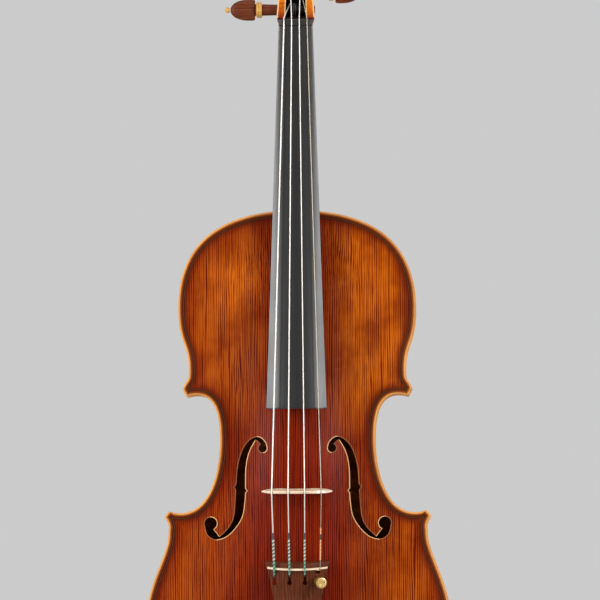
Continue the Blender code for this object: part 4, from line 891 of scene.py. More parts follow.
def carved_section(z, half, front, back, roundness, flute):
    """A section of the neck or pegbox: flat in front, and round or fluted behind."""
    points = []
    for i in range(9):
        points.append((half * (i / 4 - 1) * 0.96, front, z))
    for i in range(33):
        a = math.pi * i / 32
        across = math.copysign(abs(math.cos(a)) ** (2 / roundness), math.cos(a))
        depth = math.sin(a) ** (2 / roundness)
        hollow = flute * math.sin(math.pi * min(abs(across) / 0.86, 1)) ** 2 if depth > 0.85 else 0
        points.append((half * across, front + 0.0006 + (back - front - 0.0006) * depth - hollow, z))
    return points


SEAT = HALF_RIB - GAP
HEEL_STEPS = (-0.0105, 0, 0.0015, 0.003, 0.0045, 0.006, 0.0075, 0.009, 0.0102, 0.0112, 0.012)
NECK_STEPS = (0.0005, 0.0012, 0.002, 0.003, 0.0045, 0.0065, 0.009, 0.012, 0.016, 0.022, 0.03, 0.045)
rows = []
for past in HEEL_STEPS:
    z = BODY_TOP + past
    half = board_half_width(max(z, BODY_TOP)) - GAP
    front = neck_plane(max(z, BODY_TOP))
    button = math.sqrt(HEEL_RADIUS**2 - max(past, 0) ** 2)
    depth = (SEAT - front) / math.sqrt(1 - (button / half) ** 2 * 0.995)
    ring = carved_section(z, half, front, front + depth, 2, 0)
    rows.append([(x, min(y, SEAT), z) for x, y, z in ring])
for past in (*NECK_STEPS, 0.06, 0.08, 0.1, 0.12):
    z = BODY_TOP + HEEL_RADIUS + past
    front = neck_plane(z)
    depth = NECK_THICKNESS + (SEAT - front - NECK_THICKNESS) * math.exp(-past / 0.006)
    rows.append(carved_section(z, board_half_width(z) - GAP, front, front + depth, 2, 0))
plane = neck_plane(NUT_Z)
throat = PEGBOX_Z + PEGBOX_LENGTH
scroll_z = throat + VOLUTE_RISE
scroll_y = pegbox_back(scroll_z) - VOLUTE_RADIUS
chin = (
    (NUT_Z - 0.006, plane + NECK_THICKNESS - 0.0006, 2.0),
    (NUT_Z + 0.002, plane + NECK_THICKNESS + 0.0010, 2.3),
    (PEGBOX_Z + 0.005, pegbox_back(PEGBOX_Z + 0.005) - 0.0045, 4.0),
    (PEGBOX_Z + 0.010, pegbox_back(PEGBOX_Z + 0.010) - 0.0010, 6.0),
    (PEGBOX_Z + 0.017, pegbox_back(PEGBOX_Z + 0.017), 8.0),
)
for z in (NUT_Z - 0.006, NUT_Z - 0.003, NUT_Z, NUT_Z + 0.002, NUT_Z + 0.004, PEGBOX_Z - 0.0004):
    back, roundness = through(chin, z)
    half = ease(board_half_width(NUT_Z) - GAP, PEGBOX_WIDTH / 2 - 0.0004, (z - NUT_Z) / NUT_LENGTH)
    front = neck_plane(min(z, NUT_Z))
    rows.append(carved_section(z, half, front, back, roundness, 0))
for i in range(25):
    z = PEGBOX_Z + PEGBOX_LENGTH * i / 24
    back, roundness = through(chin, z)
    if z > PEGBOX_Z + 0.017:
        back = pegbox_back(z)
    half = pegbox_half(z, PEGBOX_WIDTH, THROAT_WIDTH)
    flute = ease(0, 0.0013, (z - PEGBOX_Z - 0.010) / 0.02)
    rows.append(carved_section(z, half, pegbox_front(z), back, roundness, flute))
for rise, lean in ((0.004, 0.0008), (0.008, 0.0028), (0.012, 0.0058), (0.016, 0.0092), (0.020, 0.0128)):
    z = throat + rise
    half = pegbox_half(z, PEGBOX_WIDTH, THROAT_WIDTH) + 0.00125 * rise / 0.020
    rows.append(carved_section(z, half, pegbox_front(throat) + lean, pegbox_back(z) - 0.0001, 8.0, 0.0013))


def carve(bm, tools):
    """Cuts closed meshes out of another with Boolean modifiers, and returns the result."""
    held = []
    for source in (bm, *tools):
        bmesh.ops.recalc_face_normals(source, faces=source.faces)
        held.append(object_of("blank", source))
    for tool in held[1:]:
        modifier = held[0].modifiers.new("cut", "BOOLEAN")
        modifier.operation = "DIFFERENCE"
        modifier.solver = "EXACT"
        modifier.object = tool
    result = bmesh.new()
    result.from_object(held[0], bpy.context.evaluated_depsgraph_get())
    for obj in held:
        bpy.data.meshes.remove(obj.data)
    return result


def rod(start, end, radius):
    """A plain closed rod between two points, to cut a bore with."""
    start, end = Vector(start), Vector(end)
    turn = (end - start).to_track_quat("Z", "Y").to_matrix().to_4x4()
    bm = bmesh.new()
    bmesh.ops.create_cone(
        bm,
        cap_ends=True,
        segments=32,
        radius1=radius,
        radius2=radius,
        depth=(end - start).length,
        matrix=Matrix.Translation((start + end) / 2) @ turn,
    )
    return bm


PEG_SEAT = 0.0095
FIRST_PEG_AT = 0.0135
PEG_SPACING = 0.0137
PEG_BORE_RADIUS = 0.0042
PEG_PLACES = {}
for name, rank, head in (("c", 0, -1), ("a", 1, 1), ("g", 2, -1), ("d", 3, 1)):
    z = NUT_Z + FIRST_PEG_AT + rank * PEG_SPACING
    PEG_PLACES[name] = ((pegbox_front(z) + PEG_SEAT, z), head)

low, high = PEGBOX_Z + 0.0011, throat - 0.009
floor = [
    (pegbox_front(low) - 0.01, low),
    (pegbox_back(low) - PEGBOX_FLOOR - 0.007, low),
    (pegbox_back(low + 0.004) - PEGBOX_FLOOR - 0.0032, low + 0.004),
    (pegbox_back(low + 0.012) - PEGBOX_FLOOR, low + 0.012),
    (pegbox_back(high - 0.01) - PEGBOX_FLOOR, high - 0.01),
    (pegbox_back(high) - PEGBOX_FLOOR - 0.003, high),
    (pegbox_front(high) - 0.01, high),
]
walls = []
for share in (-1, 1):
    walls.append([(share * pegbox_half(z, PEGBOX_HOLLOW, THROAT_HOLLOW), y, z) for y, z in floor])
hollow = skin(walls)
bores = []
for (y, z), head in PEG_PLACES.values():
    bores.append(rod((-0.03, y, z), (0.03, y, z), PEG_BORE_RADIUS))

VARNISHED_MAPLE = flamed_maple("scroll maple", 0.1)


def line_through(tree, along, low, high):
    """The value of a straight line at a height, from its values at the pegbox's two ends."""
    slope = (high - low) / PEGBOX_LENGTH
    return math_node(tree, "MULTIPLY_ADD", along, slope, low - slope * PEGBOX_Z)


def pegbox_wear_and_painted_light(tree, spot, colour):
    """Pale edges on the cheeks' front, of wear brightened as a painted highlight, and painted shade that
    blackens the box inside.
    """
    along = spot.outputs["Z"]
    side = math_node(tree, "ABSOLUTE", spot.outputs["X"])
    outer = line_through(tree, along, PEGBOX_WIDTH / 2, THROAT_WIDTH / 2)
    inner = line_through(tree, along, PEGBOX_HOLLOW / 2, THROAT_HOLLOW / 2)
    to_outer = math_node(tree, "SUBTRACT", outer, side)
    to_inner = math_node(tree, "SUBTRACT", side, inner)
    nearest = math_node(tree, "MINIMUM", to_outer, to_inner)
    # The cheeks' pale front edges are wear and a painted highlight.
    edge = remap(tree, nearest, 0.0012, 0.0006)
    front = line_through(tree, along, pegbox_front(PEGBOX_Z), pegbox_front(PEGBOX_Z + PEGBOX_LENGTH))
    deep = math_node(tree, "SUBTRACT", spot.outputs["Y"], front)
    surface = remap(tree, deep, 0.0016, 0.0010)
    above = math_node(tree, "GREATER_THAN", along, PEGBOX_Z)
    edge = times(tree, times(tree, edge, surface), above)
    colour = mix(tree, edge, colour, (0.80, 0.50, 0.22))
    # Painted shade: the inside of the pegbox is painted near black.
    bottom = line_through(tree, along, pegbox_back(PEGBOX_Z), pegbox_back(PEGBOX_Z + PEGBOX_LENGTH))
    limit = math_node(tree, "SUBTRACT", bottom, 0.0055)
    over_floor = math_node(tree, "LESS_THAN", spot.outputs["Y"], limit)
    hollow_shade = remap(tree, to_inner, 0.00025, 0.0001)
    hollow_shade = times(tree, times(tree, hollow_shade, over_floor), above)
    return mix(tree, hollow_shade, colour, (0.006, 0.004, 0.003))


def neck_maple():
    """The neck's maple is scraped bare between heel and pegbox, and polished by the hand."""
    made, tree, shader = new_material("neck maple", 0.35)
    place, _, fibre, cloud = figure_of(tree, 0.0021, 3.0)
    spot = node(tree, "SeparateXYZ", {0: place})
    streak = flame_of(tree, place, fibre, 0.0, (0.22, 0.0, 1.0), 120.0)
    bare = ramp(tree, streak, (0.36, (0.36, 0.19, 0.075)), (0.62, (0.60, 0.37, 0.17)))
    varnished = ramp(
        tree,
        streak,
        (0.34, (0.24, 0.036, 0.004)),
        (0.50, (0.48, 0.100, 0.005)),
        (0.66, (0.68, 0.20, 0.010)),
    )
    foot = remap(tree, spot.outputs["Z"], BODY_TOP + 0.030, BODY_TOP + 0.020)
    top = remap(tree, spot.outputs["Z"], NUT_Z - 0.012, NUT_Z - 0.002)
    coat = math_node(tree, "ADD", foot, top, clamp=True)
    colour = mix(tree, coat, bare, varnished)
    colour = clouded(tree, colour, cloud, 0.30, (0.74, 0.66, 0.60), 0.62)
    # Painted shade: the pegbox darkens to deep red toward the nut.
    reddened_shade = remap(tree, spot.outputs["Z"], PEGBOX_Z + 0.007, PEGBOX_Z)
    reddened_shade = times(tree, reddened_shade, top)
    colour = mix(tree, reddened_shade, colour, (0.20, 0.018, 0.004))
    colour = pegbox_wear_and_painted_light(tree, spot, colour)
    give_colour(tree, shader, colour)
    varnish_of(tree, shader, cloud, 0.26, 0.40)
    give_bump(tree, shader, fibre, 0.10)
    return made


neck = carve(skin(rows), [hollow, *bores])
piece(
    "neck_and_pegbox",
    neck,
    neck_maple(),
    stands_for=["neck_and_scroll"],
    smooth=40,
)

VOLUTE_WIDTHS = (
    (0.0, 19.0),
    (0.5, 14.6),
    (1.0, 12.8),
    (1.5, 17.0),
    (2.0, 23.5),
    (2.5, 28.5),
    (3.0, 32.5),
    (3.5, 36.0),
    (4.0, 39.0),
    (4.5, 41.6),
    (5.0, 43.4),
)
SPIRAL_STEPS = 30


def spiral_radius(half_turns):
    return VOLUTE_RADIUS * (EYE_RADIUS / VOLUTE_RADIUS) ** (half_turns / (2 * VOLUTE_TURNS))


rows = []
for i in range(int(2 * VOLUTE_TURNS * SPIRAL_STEPS) + 1):
    turn = i / SPIRAL_STEPS
    angle = math.pi * turn
    outer = spiral_radius(turn)
    inner = spiral_radius(turn + 2) - 0.0006 if turn < 2 * VOLUTE_TURNS - 2 else 0.0012
    half = through(VOLUTE_WIDTHS, turn)[0] / 2000
    groove = 0.0014 * (1 - 0.75 * min(turn / 2, 1))
    half_ring = (
        (0.0, outer - 0.0001),
        (0.10, outer - 0.25 * groove),
        (0.28, outer - 0.85 * groove),
        (0.46, outer - groove),
        (0.66, outer - 0.72 * groove),
        (0.84, outer - 0.22 * groove),
        (0.93, outer),
        (0.98, outer - 0.0001),
        (1.0, outer - 0.0005),
        (0.995, outer - 0.0014),
        (0.985, (outer + inner) / 2),
        (0.98, inner),
        (0.5, inner),
    )
    ring = [(x * half, r) for x, r in half_ring] + [(0.0, inner)]
    ring += [(-x * half, r) for x, r in reversed(half_ring[1:])]
    rows.append([(x, scroll_y + r * math.cos(angle), scroll_z + r * math.sin(angle)) for x, r in ring])
piece("scroll_volute", skin(rows), VARNISHED_MAPLE, smooth=40)


def turned(profile, place, segments=32, axis="X"):
    """A turned piece: a profile of (along, radius) pairs spun once round the axis."""
    bm = bmesh.new()
    row = [bm.verts.new((along, radius, 0)) for along, radius in profile]
    edges = [bm.edges.new(pair) for pair in zip(row, row[1:])]
    bmesh.ops.spin(
        bm,
        geom=row + edges,
        axis=(1, 0, 0),
        cent=(0, 0, 0),
        angle=2 * math.pi,
        steps=segments,
        use_merge=True,
    )
    bmesh.ops.remove_doubles(bm, verts=bm.verts, dist=1e-6)
    if axis == "Z":
        bmesh.ops.rotate(bm, verts=bm.verts, matrix=Matrix.Rotation(-math.pi / 2, 3, "Y"))
    bmesh.ops.transform(bm, matrix=place, verts=bm.verts)
    return bm


def eye_profile():
    half = EYE_WIDTH / 2
    side = [(half, 0.0), (half - 0.0001, 0.0022), (half - 0.0006, 0.0038), (half - 0.0014, EYE_RADIUS)]
    return [(-a, r) for a, r in side] + [(a, r) for a, r in reversed(side)]


eye = turned(eye_profile(), Matrix.Translation((0, scroll_y, scroll_z)), 40)
piece("scroll_eye", eye, VARNISHED_MAPLE)


# Fingerboard and nut: ebony, planed to a crown across and glued on the neck.
# The board's tail end stands free over the top and is hollowed underneath.
BOARD_END_Z = NUT_Z - BOARD_LENGTH
BOARD_EDGE = 0.0055
BOARD_RADIUS = 0.042
BOARD_HOLLOW = 0.004


def board_top(x, z):
    half = board_half_width(z)
    crown = math.sqrt(BOARD_RADIUS**2 - x**2) - math.sqrt(BOARD_RADIUS**2 - half**2)
    return neck_plane(z) - BOARD_EDGE - crown


def ebony(name, low, high):
    """Ebony: nearly black, with a faint brown grain and a dull hand-worn polish."""
    made, tree, shader = new_material(name, low)
    _, rings, fibre, cloud = figure_of(tree, 0.0016, 2.0)
    grain = grain_of(tree, fibre, 0.7, rings, 0.3)
    colour = ramp(tree, grain, (0.30, (0.004, 0.004, 0.004)), (0.70, (0.011, 0.0105, 0.010)))
    shader.inputs["Specular IOR Level"].default_value = 0.56
    give_colour(tree, shader, colour)
    give_polish(tree, shader, cloud, low, high)
    give_bump(tree, shader, fibre, 0.08, 0.0001)
    return made


BOARD_EBONY = ebony("fingerboard ebony", 0.27, 0.36)
NUT_EBONY = ebony("nut ebony", 0.26, 0.36)
rows = []
span = NUT_Z - BOARD_END_Z
board_steps = [(0, 0.0006), (0.0004 / span, 0.0002), (0.0012 / span, 0)]
board_steps += [(i / 40, 0) for i in range(1, 41)]
for share, trim in board_steps:
    z = BOARD_END_Z + span * share
    half = board_half_width(z) - trim
    under = neck_plane(z) - GAP - trim
    free = min(max((BODY_TOP - 0.004 - z) / (0.3 * (BODY_TOP - BOARD_END_Z)), 0), 1)
    ring = []
    for i in range(25):
        x = (half - 0.0005) * (i / 12 - 1)
        ring.append((x, board_top(x, z) + trim, z))
    side = board_top(half - 0.0005, z) + trim
    ring += [(half - 0.0001, side + 0.0002, z), (half, side + 0.0008, z), (half, under - 0.0005, z)]
    for across in (0.98, 0.9, 0.6, 0.3, 0, -0.3, -0.6, -0.9, -0.98):
        ring.append((across * half, under - BOARD_HOLLOW * free * (1 - across**2), z))
    ring += [(-half, under - 0.0005, z), (-half, side + 0.0008, z), (-half + 0.0001, side + 0.0002, z)]
    rows.append(ring)
piece("fingerboard_planed", skin(rows), BOARD_EBONY, stands_for=["fingerboard"], smooth=30)

STRINGS = (("c", 0.00058), ("g", 0.0005), ("d", 0.00042), ("a", 0.00034))
NUT_SPREAD = 0.0185
NUT_HEIGHT = 0.0008


def share_of(index):
    """A string's place across the instrument, from -0.5 for C to 0.5 for A."""
    return index / 3 - 0.5


def groove_at(x, spread):
    """Depth of the strings' grooves in the nut or the bridge."""
    depth = 0
    for index, (_, radius) in enumerate(STRINGS):
        near = abs(x - spread * share_of(index)) / (radius + GAP)
        depth += (radius + 0.0002) * max(1 - near**2, 0)
    return depth


def nut_top(x):
    return board_top(x, NUT_Z) - NUT_HEIGHT


half = board_half_width(NUT_Z)
outline = []
for i in range(97):
    x = half * (i / 48 - 1)
    outline.append((x, nut_top(x) + groove_at(x, NUT_SPREAD)))
outline += [(half, neck_plane(NUT_Z) - GAP), (-half, neck_plane(NUT_Z) - GAP)]
crown_ends = neck_plane(NUT_Z) - 0.001
rows = []
for along, drop in (
    (0.0003, 0.0002),
    (0.0006, 0),
    (0.0028, 0),
    (0.0044, 0.0002),
    (0.0054, 0.0006),
    (0.0057, 0.0011),
):
    rows.append([(x, y + (drop if y < crown_ends else 0), NUT_Z + along) for x, y in outline])
piece("nut_grooved", skin(rows), NUT_EBONY, stands_for=["nut"], smooth=30)


# Pegs: rosewood, turned to a slow taper and fitted through both cheeks of the pegbox.
# Each has a flat oval head for the fingers, a boxwood collar and a boxwood pip at its end.
PEG_REACH = 0.0179
PEG_RADIUS = 0.0043
PEG_TIP_RADIUS = 0.0035
HEAD_LENGTH = 0.0195
HEAD_HEIGHT = 0.017
HEAD_THICKNESS = 0.0078
COLLAR_LENGTH = 0.0045
COLLAR_RADIUS = 0.0066
PIP_RADIUS = 0.0024
PIP_LENGTH = 0.0042
HEAD_SHAPE = (
    (0.0, 0.60, 0.60),
    (0.0, 0.86, 0.74),
    (0.02, 0.94, 0.83),
    (0.06, 0.975, 0.89),
    (0.13, 0.995, 0.94),
    (0.24, 1.0, 0.98),
    (0.36, 0.99, 1.0),
    (0.48, 0.96, 0.99),
    (0.60, 0.90, 0.95),
    (0.71, 0.82, 0.88),
    (0.80, 0.72, 0.79),
    (0.88, 0.59, 0.67),
    (0.94, 0.45, 0.53),
    (0.98, 0.31, 0.40),
    (1.0, 0.20, 0.28),
)
COLLAR_SHAPE = (
    (0.0, 0.84),
    (0.06, 0.91),
    (0.16, 0.95),
    (0.30, 1.0),
    (0.44, 0.97),
    (0.50, 0.90),
    (0.56, 0.90),
    (0.63, 0.96),
    (0.76, 0.98),
    (0.88, 0.93),
    (0.96, 0.84),
    (1.0, 0.76),
)
PIP_SHAPE = (
    (0, 0),
    (0, 0.56),
    (0.08, 0.62),
    (0.18, 0.66),
    (0.30, 0.80),
    (0.42, 0.94),
    (0.54, 1.0),
    (0.66, 0.98),
    (0.77, 0.88),
    (0.87, 0.68),
    (0.95, 0.40),
    (1.0, 0.15),
    (1.0, 0),
)


def rosewood(name, turn=(0, 0, 0), warm=1.0, hollow=0):
    """Rosewood: brown with fine streaks, rubbed to a polish, and darkened by painted shade inside the
    pegbox.
    """
    made, tree, shader = new_material(name, 0.3)
    _, rings, fibre, cloud = figure_of(tree, 0.0024, 5.0, turn)
    grain = grain_of(tree, fibre, 0.5, rings, 0.5)
    stops = ((0.18, (0.075, 0.018, 0.007)), (0.45, (0.120, 0.030, 0.012)), (0.85, (0.180, 0.052, 0.021)))
    stops = [(place, tuple(part * warm for part in colour)) for place, colour in stops]
    colour = ramp(tree, grain, *stops)
    colour = clouded(tree, colour, cloud, 0.30, (0.70, 0.66, 0.66), 0.66)
    if hollow:
        # Painted shade: the peg is darkened nearly black where it runs inside the pegbox.
        spot = node(tree, "SeparateXYZ", {0: place_of(tree)})
        side = math_node(tree, "ABSOLUTE", spot.outputs["X"])
        inside = remap(tree, side, hollow, hollow - 0.0004)
        colour = mix(tree, inside, colour, (0.010, 0.006, 0.005))
    give_colour(tree, shader, colour)
    varnish_of(tree, shader, cloud, 0.26, 0.38)
    give_bump(tree, shader, fibre, 0.14)
    return made


def boxwood():
    """Boxwood: pale gold, close-grained and polished by turning."""
    made, tree, shader = new_material("boxwood", 0.25)
    _, rings, fibre, cloud = figure_of(tree, 0.0012, 2.0, ACROSS)
    grain = grain_of(tree, fibre, 0.6, rings, 0.4)
    colour = ramp(tree, grain, (0.25, (0.44, 0.21, 0.045)), (0.70, (0.70, 0.42, 0.12)))
    give_colour(tree, shader, colour)
    varnish_of(tree, shader, cloud, 0.20, 0.30)
    give_bump(tree, shader, fibre, 0.06)
    return made


PEG_WOOD = rosewood("peg rosewood", ACROSS, 1.1, PEGBOX_HOLLOW / 2)
BOXWOOD = boxwood()


def peg_radius(toward_head):
    share = toward_head / PEGBOX_WIDTH + 0.5
    return PEG_TIP_RADIUS + (PEG_RADIUS - PEG_TIP_RADIUS) * share


PEG_CORNERS = 40


def oval(x, y, z, thick, wide):
    """A ring across X whose flat sides face the front and the back."""
    ring = []
    for k in range(PEG_CORNERS):
        a = 2 * math.pi * k / PEG_CORNERS
        flat = math.copysign(abs(math.cos(a)) ** 0.85, math.cos(a))
        ring.append((x, y + thick * flat, z + wide * math.sin(a)))
    return ring


def hoop(x, y, z, radius):
    """A round ring across X."""
    turns = [2 * math.pi * k / PEG_CORNERS for k in range(PEG_CORNERS)]
    return [(x, y + radius * math.cos(a), z + radius * math.sin(a)) for a in turns]


for name, ((y, z), head) in PEG_PLACES.items():
    cheek = pegbox_half(z, PEGBOX_WIDTH, THROAT_WIDTH)
    base = cheek + PEG_REACH
    tip = -cheek - 0.0006
    profile = [(tip, 0.0024), (tip + 0.0002, 0.0030), (tip + 0.0007, peg_radius(tip))]
    profile += [(tip + (base - 0.0030 - tip) * i / 6, 0) for i in range(1, 7)]
    profile = [(a, r or peg_radius(a)) for a, r in profile]
    profile += [(base - 0.0021, 0.00475), (base - 0.0014, 0.0051), (base - 0.0007, 0.00495)]
    profile += [(base - 0.0003, 0.0045)]
    rings = [oval(head * a, y, z, r, r) for a, r in profile]
    for share, wide, thick in HEAD_SHAPE:
        x = head * (base + share * HEAD_LENGTH)
        rings.append(oval(x, y, z, thick * HEAD_THICKNESS / 2, wide * HEAD_HEIGHT / 2))
    body = f"peg_{name}"
    piece(f"peg_{name}_turned", skin(rings), PEG_WOOD, body, [body], 50)

    collar = base - 0.0010 - COLLAR_LENGTH
    bore = peg_radius(collar + COLLAR_LENGTH) + GAP
    shape = ((0.0, bore), *COLLAR_SHAPE, (1.0, bore))
    rings = []
    for share, reach in shape:
        radius = reach if reach == bore else reach * COLLAR_RADIUS
        rings.append(hoop(head * (collar + share * COLLAR_LENGTH), y, z, radius))
    piece(f"peg_{name}_collar", ring_skin(rings), BOXWOOD, body, [f"peg_collar_{name}"], 40)

    profile = [(share * PIP_LENGTH, wide * PIP_RADIUS) for share, wide in PIP_SHAPE]
    place = Matrix.Translation((head * (base + HEAD_LENGTH + GAP), y, z))
    pip = turned(profile, place @ Matrix.Scale(head, 4, (1, 0, 0)), 24)
    piece(f"peg_{name}_pip", pip, BOXWOOD, body, [f"peg_pip_{name}"], 50)


# Bridge: a blank of plain maple, cut with a heart and two kidneys and thinned to its crest.
# Its face toward the tail stands square, its feet follow the arch, and only the strings hold it.
BRIDGE_SPREAD = 0.0393
BRIDGE_TOP = 0.037
BRIDGE_RADIUS = 0.042
BRIDGE_TILT = 0.038
BRIDGE_WIDTH = 0.0565
BRIDGE_FOOT = 0.0046
BRIDGE_CREST = 0.0018
ARCH_GAP = 0.0006


def top_surface(x, z):
    return -HALF_RIB - outer_height(x, z, TOP_ARCH)


def bridge_crown(x):
    rise = BRIDGE_RADIUS - math.sqrt(BRIDGE_RADIUS**2 - x**2)
    return top_surface(0, BRIDGE_Z) - BRIDGE_TOP + rise + BRIDGE_TILT * x


def bridge_up(share):
    return top_surface(0, BRIDGE_Z) - share * BRIDGE_TOP


def under_foot(x):
    return top_surface(x, BRIDGE_Z) - ARCH_GAP


def bridge_side(flip):
    """Half of the outline, from the crown's middle down to the arch between the feet."""
    wing = BRIDGE_WIDTH / 2
    foot = 0.44 * BRIDGE_WIDTH
    toe = 0.20 * BRIDGE_WIDTH
    crown_half = BRIDGE_SPREAD / 2 + 0.0035
    points = []
    for i in range(47):
        x = crown_half * i / 46
        points.append((x, bridge_crown(flip * x) + groove_at(flip * x, BRIDGE_SPREAD)))
    shoulder = [
        (crown_half, bridge_crown(flip * crown_half)),
        (crown_half + 0.0013, bridge_up(0.76)),
        (crown_half + 0.0012, bridge_up(0.70)),
        (0.84 * wing, bridge_up(0.62)),
        (0.815 * wing, bridge_up(0.56)),
        (0.83 * wing, bridge_up(0.49)),
        (0.885 * wing, bridge_up(0.42)),
        (0.975 * wing, bridge_up(0.375)),
        (wing, bridge_up(0.345)),
        (0.985 * wing, bridge_up(0.315)),
        (0.93 * wing, bridge_up(0.300)),
        (0.86 * wing, bridge_up(0.312)),
        (0.795 * wing, bridge_up(0.30)),
        (0.765 * wing, bridge_up(0.25)),
        (0.772 * wing, bridge_up(0.20)),
        (0.82 * wing, bridge_up(0.155)),
        (foot, under_foot(foot) - 0.0030),
    ]
    points += spline(shoulder, 4)[1:]
    points += [(foot, under_foot(foot) - 0.0030)]
    points += [(foot + (toe - foot) * i / 8, under_foot(foot + (toe - foot) * i / 8)) for i in range(9)]
    arch = [
        (toe, under_foot(toe) - 0.0012),
        (toe - 0.0003, bridge_up(0.13)),
        (0.36 * wing, bridge_up(0.19)),
        (0.29 * wing, bridge_up(0.238)),
        (0.20 * wing, bridge_up(0.268)),
        (0.11 * wing, bridge_up(0.262)),
        (0, bridge_up(0.245)),
    ]
    points += spline(arch, 4) + [arch[-1]]
    return [(flip * x, y) for x, y in points]


def heart():
    """The heart in the middle, with its lobes toward the crown and its point below."""
    half = [
        (0, bridge_up(0.615)),
        (0.0007, bridge_up(0.638)),
        (0.0022, bridge_up(0.652)),
        (0.0037, bridge_up(0.632)),
        (0.0041, bridge_up(0.592)),
        (0.0031, bridge_up(0.537)),
        (0.0014, bridge_up(0.49)),
        (0, bridge_up(0.455)),
    ]
    side = spline(half, 4) + [half[-1]]
    return side + [(-x, y) for x, y in reversed(side[1:-1])]


def kidney(flip):
    """A round window with its tongue of wood, open toward the shoulder."""
    x, y = 0.50 * BRIDGE_WIDTH / 2, bridge_up(0.44)
    rim = arc((x, y), 0.0042, 20, 340, 40)
    tongue = arc((x + 0.0026, y), 0.0017, -70, -290, 16)
    return [(flip * px, py) for px, py in rim + tongue]


def bridge_maple():
    """Pale maple with short flecks, and a vellum patch glued under the highest string."""
    made, tree, shader = new_material("bridge maple", 0.42)
    place, rings, fibre, cloud = figure_of(tree, 0.0015, 2.0, ACROSS)
    fleck_at = scaled(tree, place, (0.6, 1.0, 0.18))
    fleck = remap(tree, noise(tree, fleck_at, 2300.0, 2.0), 0.60, 0.68)
    grain = grain_of(tree, fibre, 0.6, rings, 0.4)
    colour = ramp(tree, grain, (0.25, (0.72, 0.51, 0.33)), (0.72, (0.90, 0.74, 0.56)))
    colour = mix(tree, times(tree, fleck, 0.45), colour, (0.38, 0.18, 0.070))
    spot = node(tree, "SeparateXYZ", {0: place_of(tree)})
    off_string = math_node(tree, "ABSOLUTE", math_node(tree, "ADD", spot.outputs["X"], -BRIDGE_SPREAD / 2))
    patch = math_node(tree, "LESS_THAN", off_string, 0.0034)
    low = math_node(tree, "LESS_THAN", spot.outputs["Y"], bridge_crown(BRIDGE_SPREAD / 2) + 0.0034)
    colour = mix(tree, times(tree, patch, low), colour, (0.94, 0.85, 0.74))
    colour = clouded(tree, colour, cloud, 0.3, (0.78, 0.74, 0.70), 0.7)
    give_colour(tree, shader, colour)
    give_bump(tree, shader, fibre, 0.18)
    return made


BRIDGE_MAPLE = bridge_maple()
bm = bmesh.new()
loops = []
treble, bass = bridge_side(1), bridge_side(-1)
for loop in (treble + list(reversed(bass[1:-1])), heart(), kidney(1), kidney(-1)):
    ring = start_row(bm, [(x, y, 0) for x, y in loop])
    loops += round_edges(bm, ring)
bmesh.ops.triangle_fill(bm, use_beauty=True, edges=loops)
made = bmesh.ops.extrude_face_region(bm, geom=bm.faces[:])["geom"]
far_side = verts_among(made)
highest = bridge_crown(0)
base = top_surface(0, BRIDGE_Z)
for vert in bm.verts:
    share = max((base - vert.co.y) / (base - highest), 0)
    swell = 1.6 * share * (1 - share)
    thick = BRIDGE_FOOT + (BRIDGE_CREST - BRIDGE_FOOT) * (share - 0.35 * swell)
    point = 0.42 * thick * (abs(vert.co.x) / (BRIDGE_WIDTH / 2)) ** 6
    vert.co.z = BRIDGE_Z - BRIDGE_FOOT / 2 + (thick - point if vert in far_side else point)
piece("bridge_carved", bm, BRIDGE_MAPLE, stands_for=["bridge"], smooth=40)


# Tailpiece: rosewood, crowned under the fret and rising to a ridge toward the tail.
# Three keyhole slots hold the thicker strings, and a bore and a slot take the fine tuner.
TAILPIECE_LENGTH = 0.1245
TAILPIECE_AT = 0.0145
TAILPIECE_TOP_Z = TAILPIECE_AT + TAILPIECE_LENGTH
TAILPIECE_WIDTH = 0.0515
TAILPIECE_MIDDLE = 0.0362
TAILPIECE_END = 0.020
TAILPIECE_RADIUS = 0.036
TAILPIECE_EDGE = 0.0035
TAILPIECE_RISE = 0.008
TAILPIECE_HOLLOW = 0.0045
TAILPIECE_LEAN = 0.19
TAILPIECE_FRET_AT = 0.0047
HOLE_Z = TAILPIECE_TOP_Z - 0.0170
KEYHOLE_RADIUS = 0.0018
KEYHOLE_SLOT = 0.0019
KEYHOLE_SLOT_LENGTH = 0.0066
FRET_SPREAD = 0.93 * BRIDGE_SPREAD
FRET_WIDTH = 0.0016
FRET_HEIGHT = 0.0022
SADDLE_WIDTH = 0.036
SADDLE_HEIGHT = 0.0052
SADDLE_DEPTH = 0.0072
GUT_RADIUS = 0.001
GUT_SPREAD = 0.0096
BUTTON_PIN_RADIUS = 0.004
TUNER_X = 0.0164
TUNER_DROP = 0.0158
TUNER_LEAN = 18
TUNER_KNOB_AT = 0.0058
TUNER_KNOB_RADIUS = 0.00455
TUNER_KNOB_HEIGHT = 0.0042
TUNER_ARM = 0.0094
TUNER_HOOK_HEIGHT = 0.0019


def string_line(x, z):
    """The line of the strings behind the bridge, where they run straight to the saddle."""
    saddle_top = -HALF_RIB - EDGE_THICKNESS - SADDLE_HEIGHT
    crest = top_surface(0, BRIDGE_Z) - BRIDGE_TOP
    slope = (saddle_top - crest) / (BRIDGE_Z - BODY_BOTTOM)
    return crest + slope * (BRIDGE_Z - z) + TAILPIECE_RADIUS - math.sqrt(TAILPIECE_RADIUS**2 - x**2)


def tailpiece_half_width(z):
    share = (TAILPIECE_TOP_Z - z) / TAILPIECE_LENGTH
    narrowing = TAILPIECE_MIDDLE + (TAILPIECE_END - TAILPIECE_MIDDLE) * (share - 0.25) / 0.75
    flare = TAILPIECE_WIDTH - TAILPIECE_MIDDLE - 0.25 * (TAILPIECE_MIDDLE - TAILPIECE_END) / 0.75
    return (narrowing + flare * math.exp(-share / 0.16)) / 2


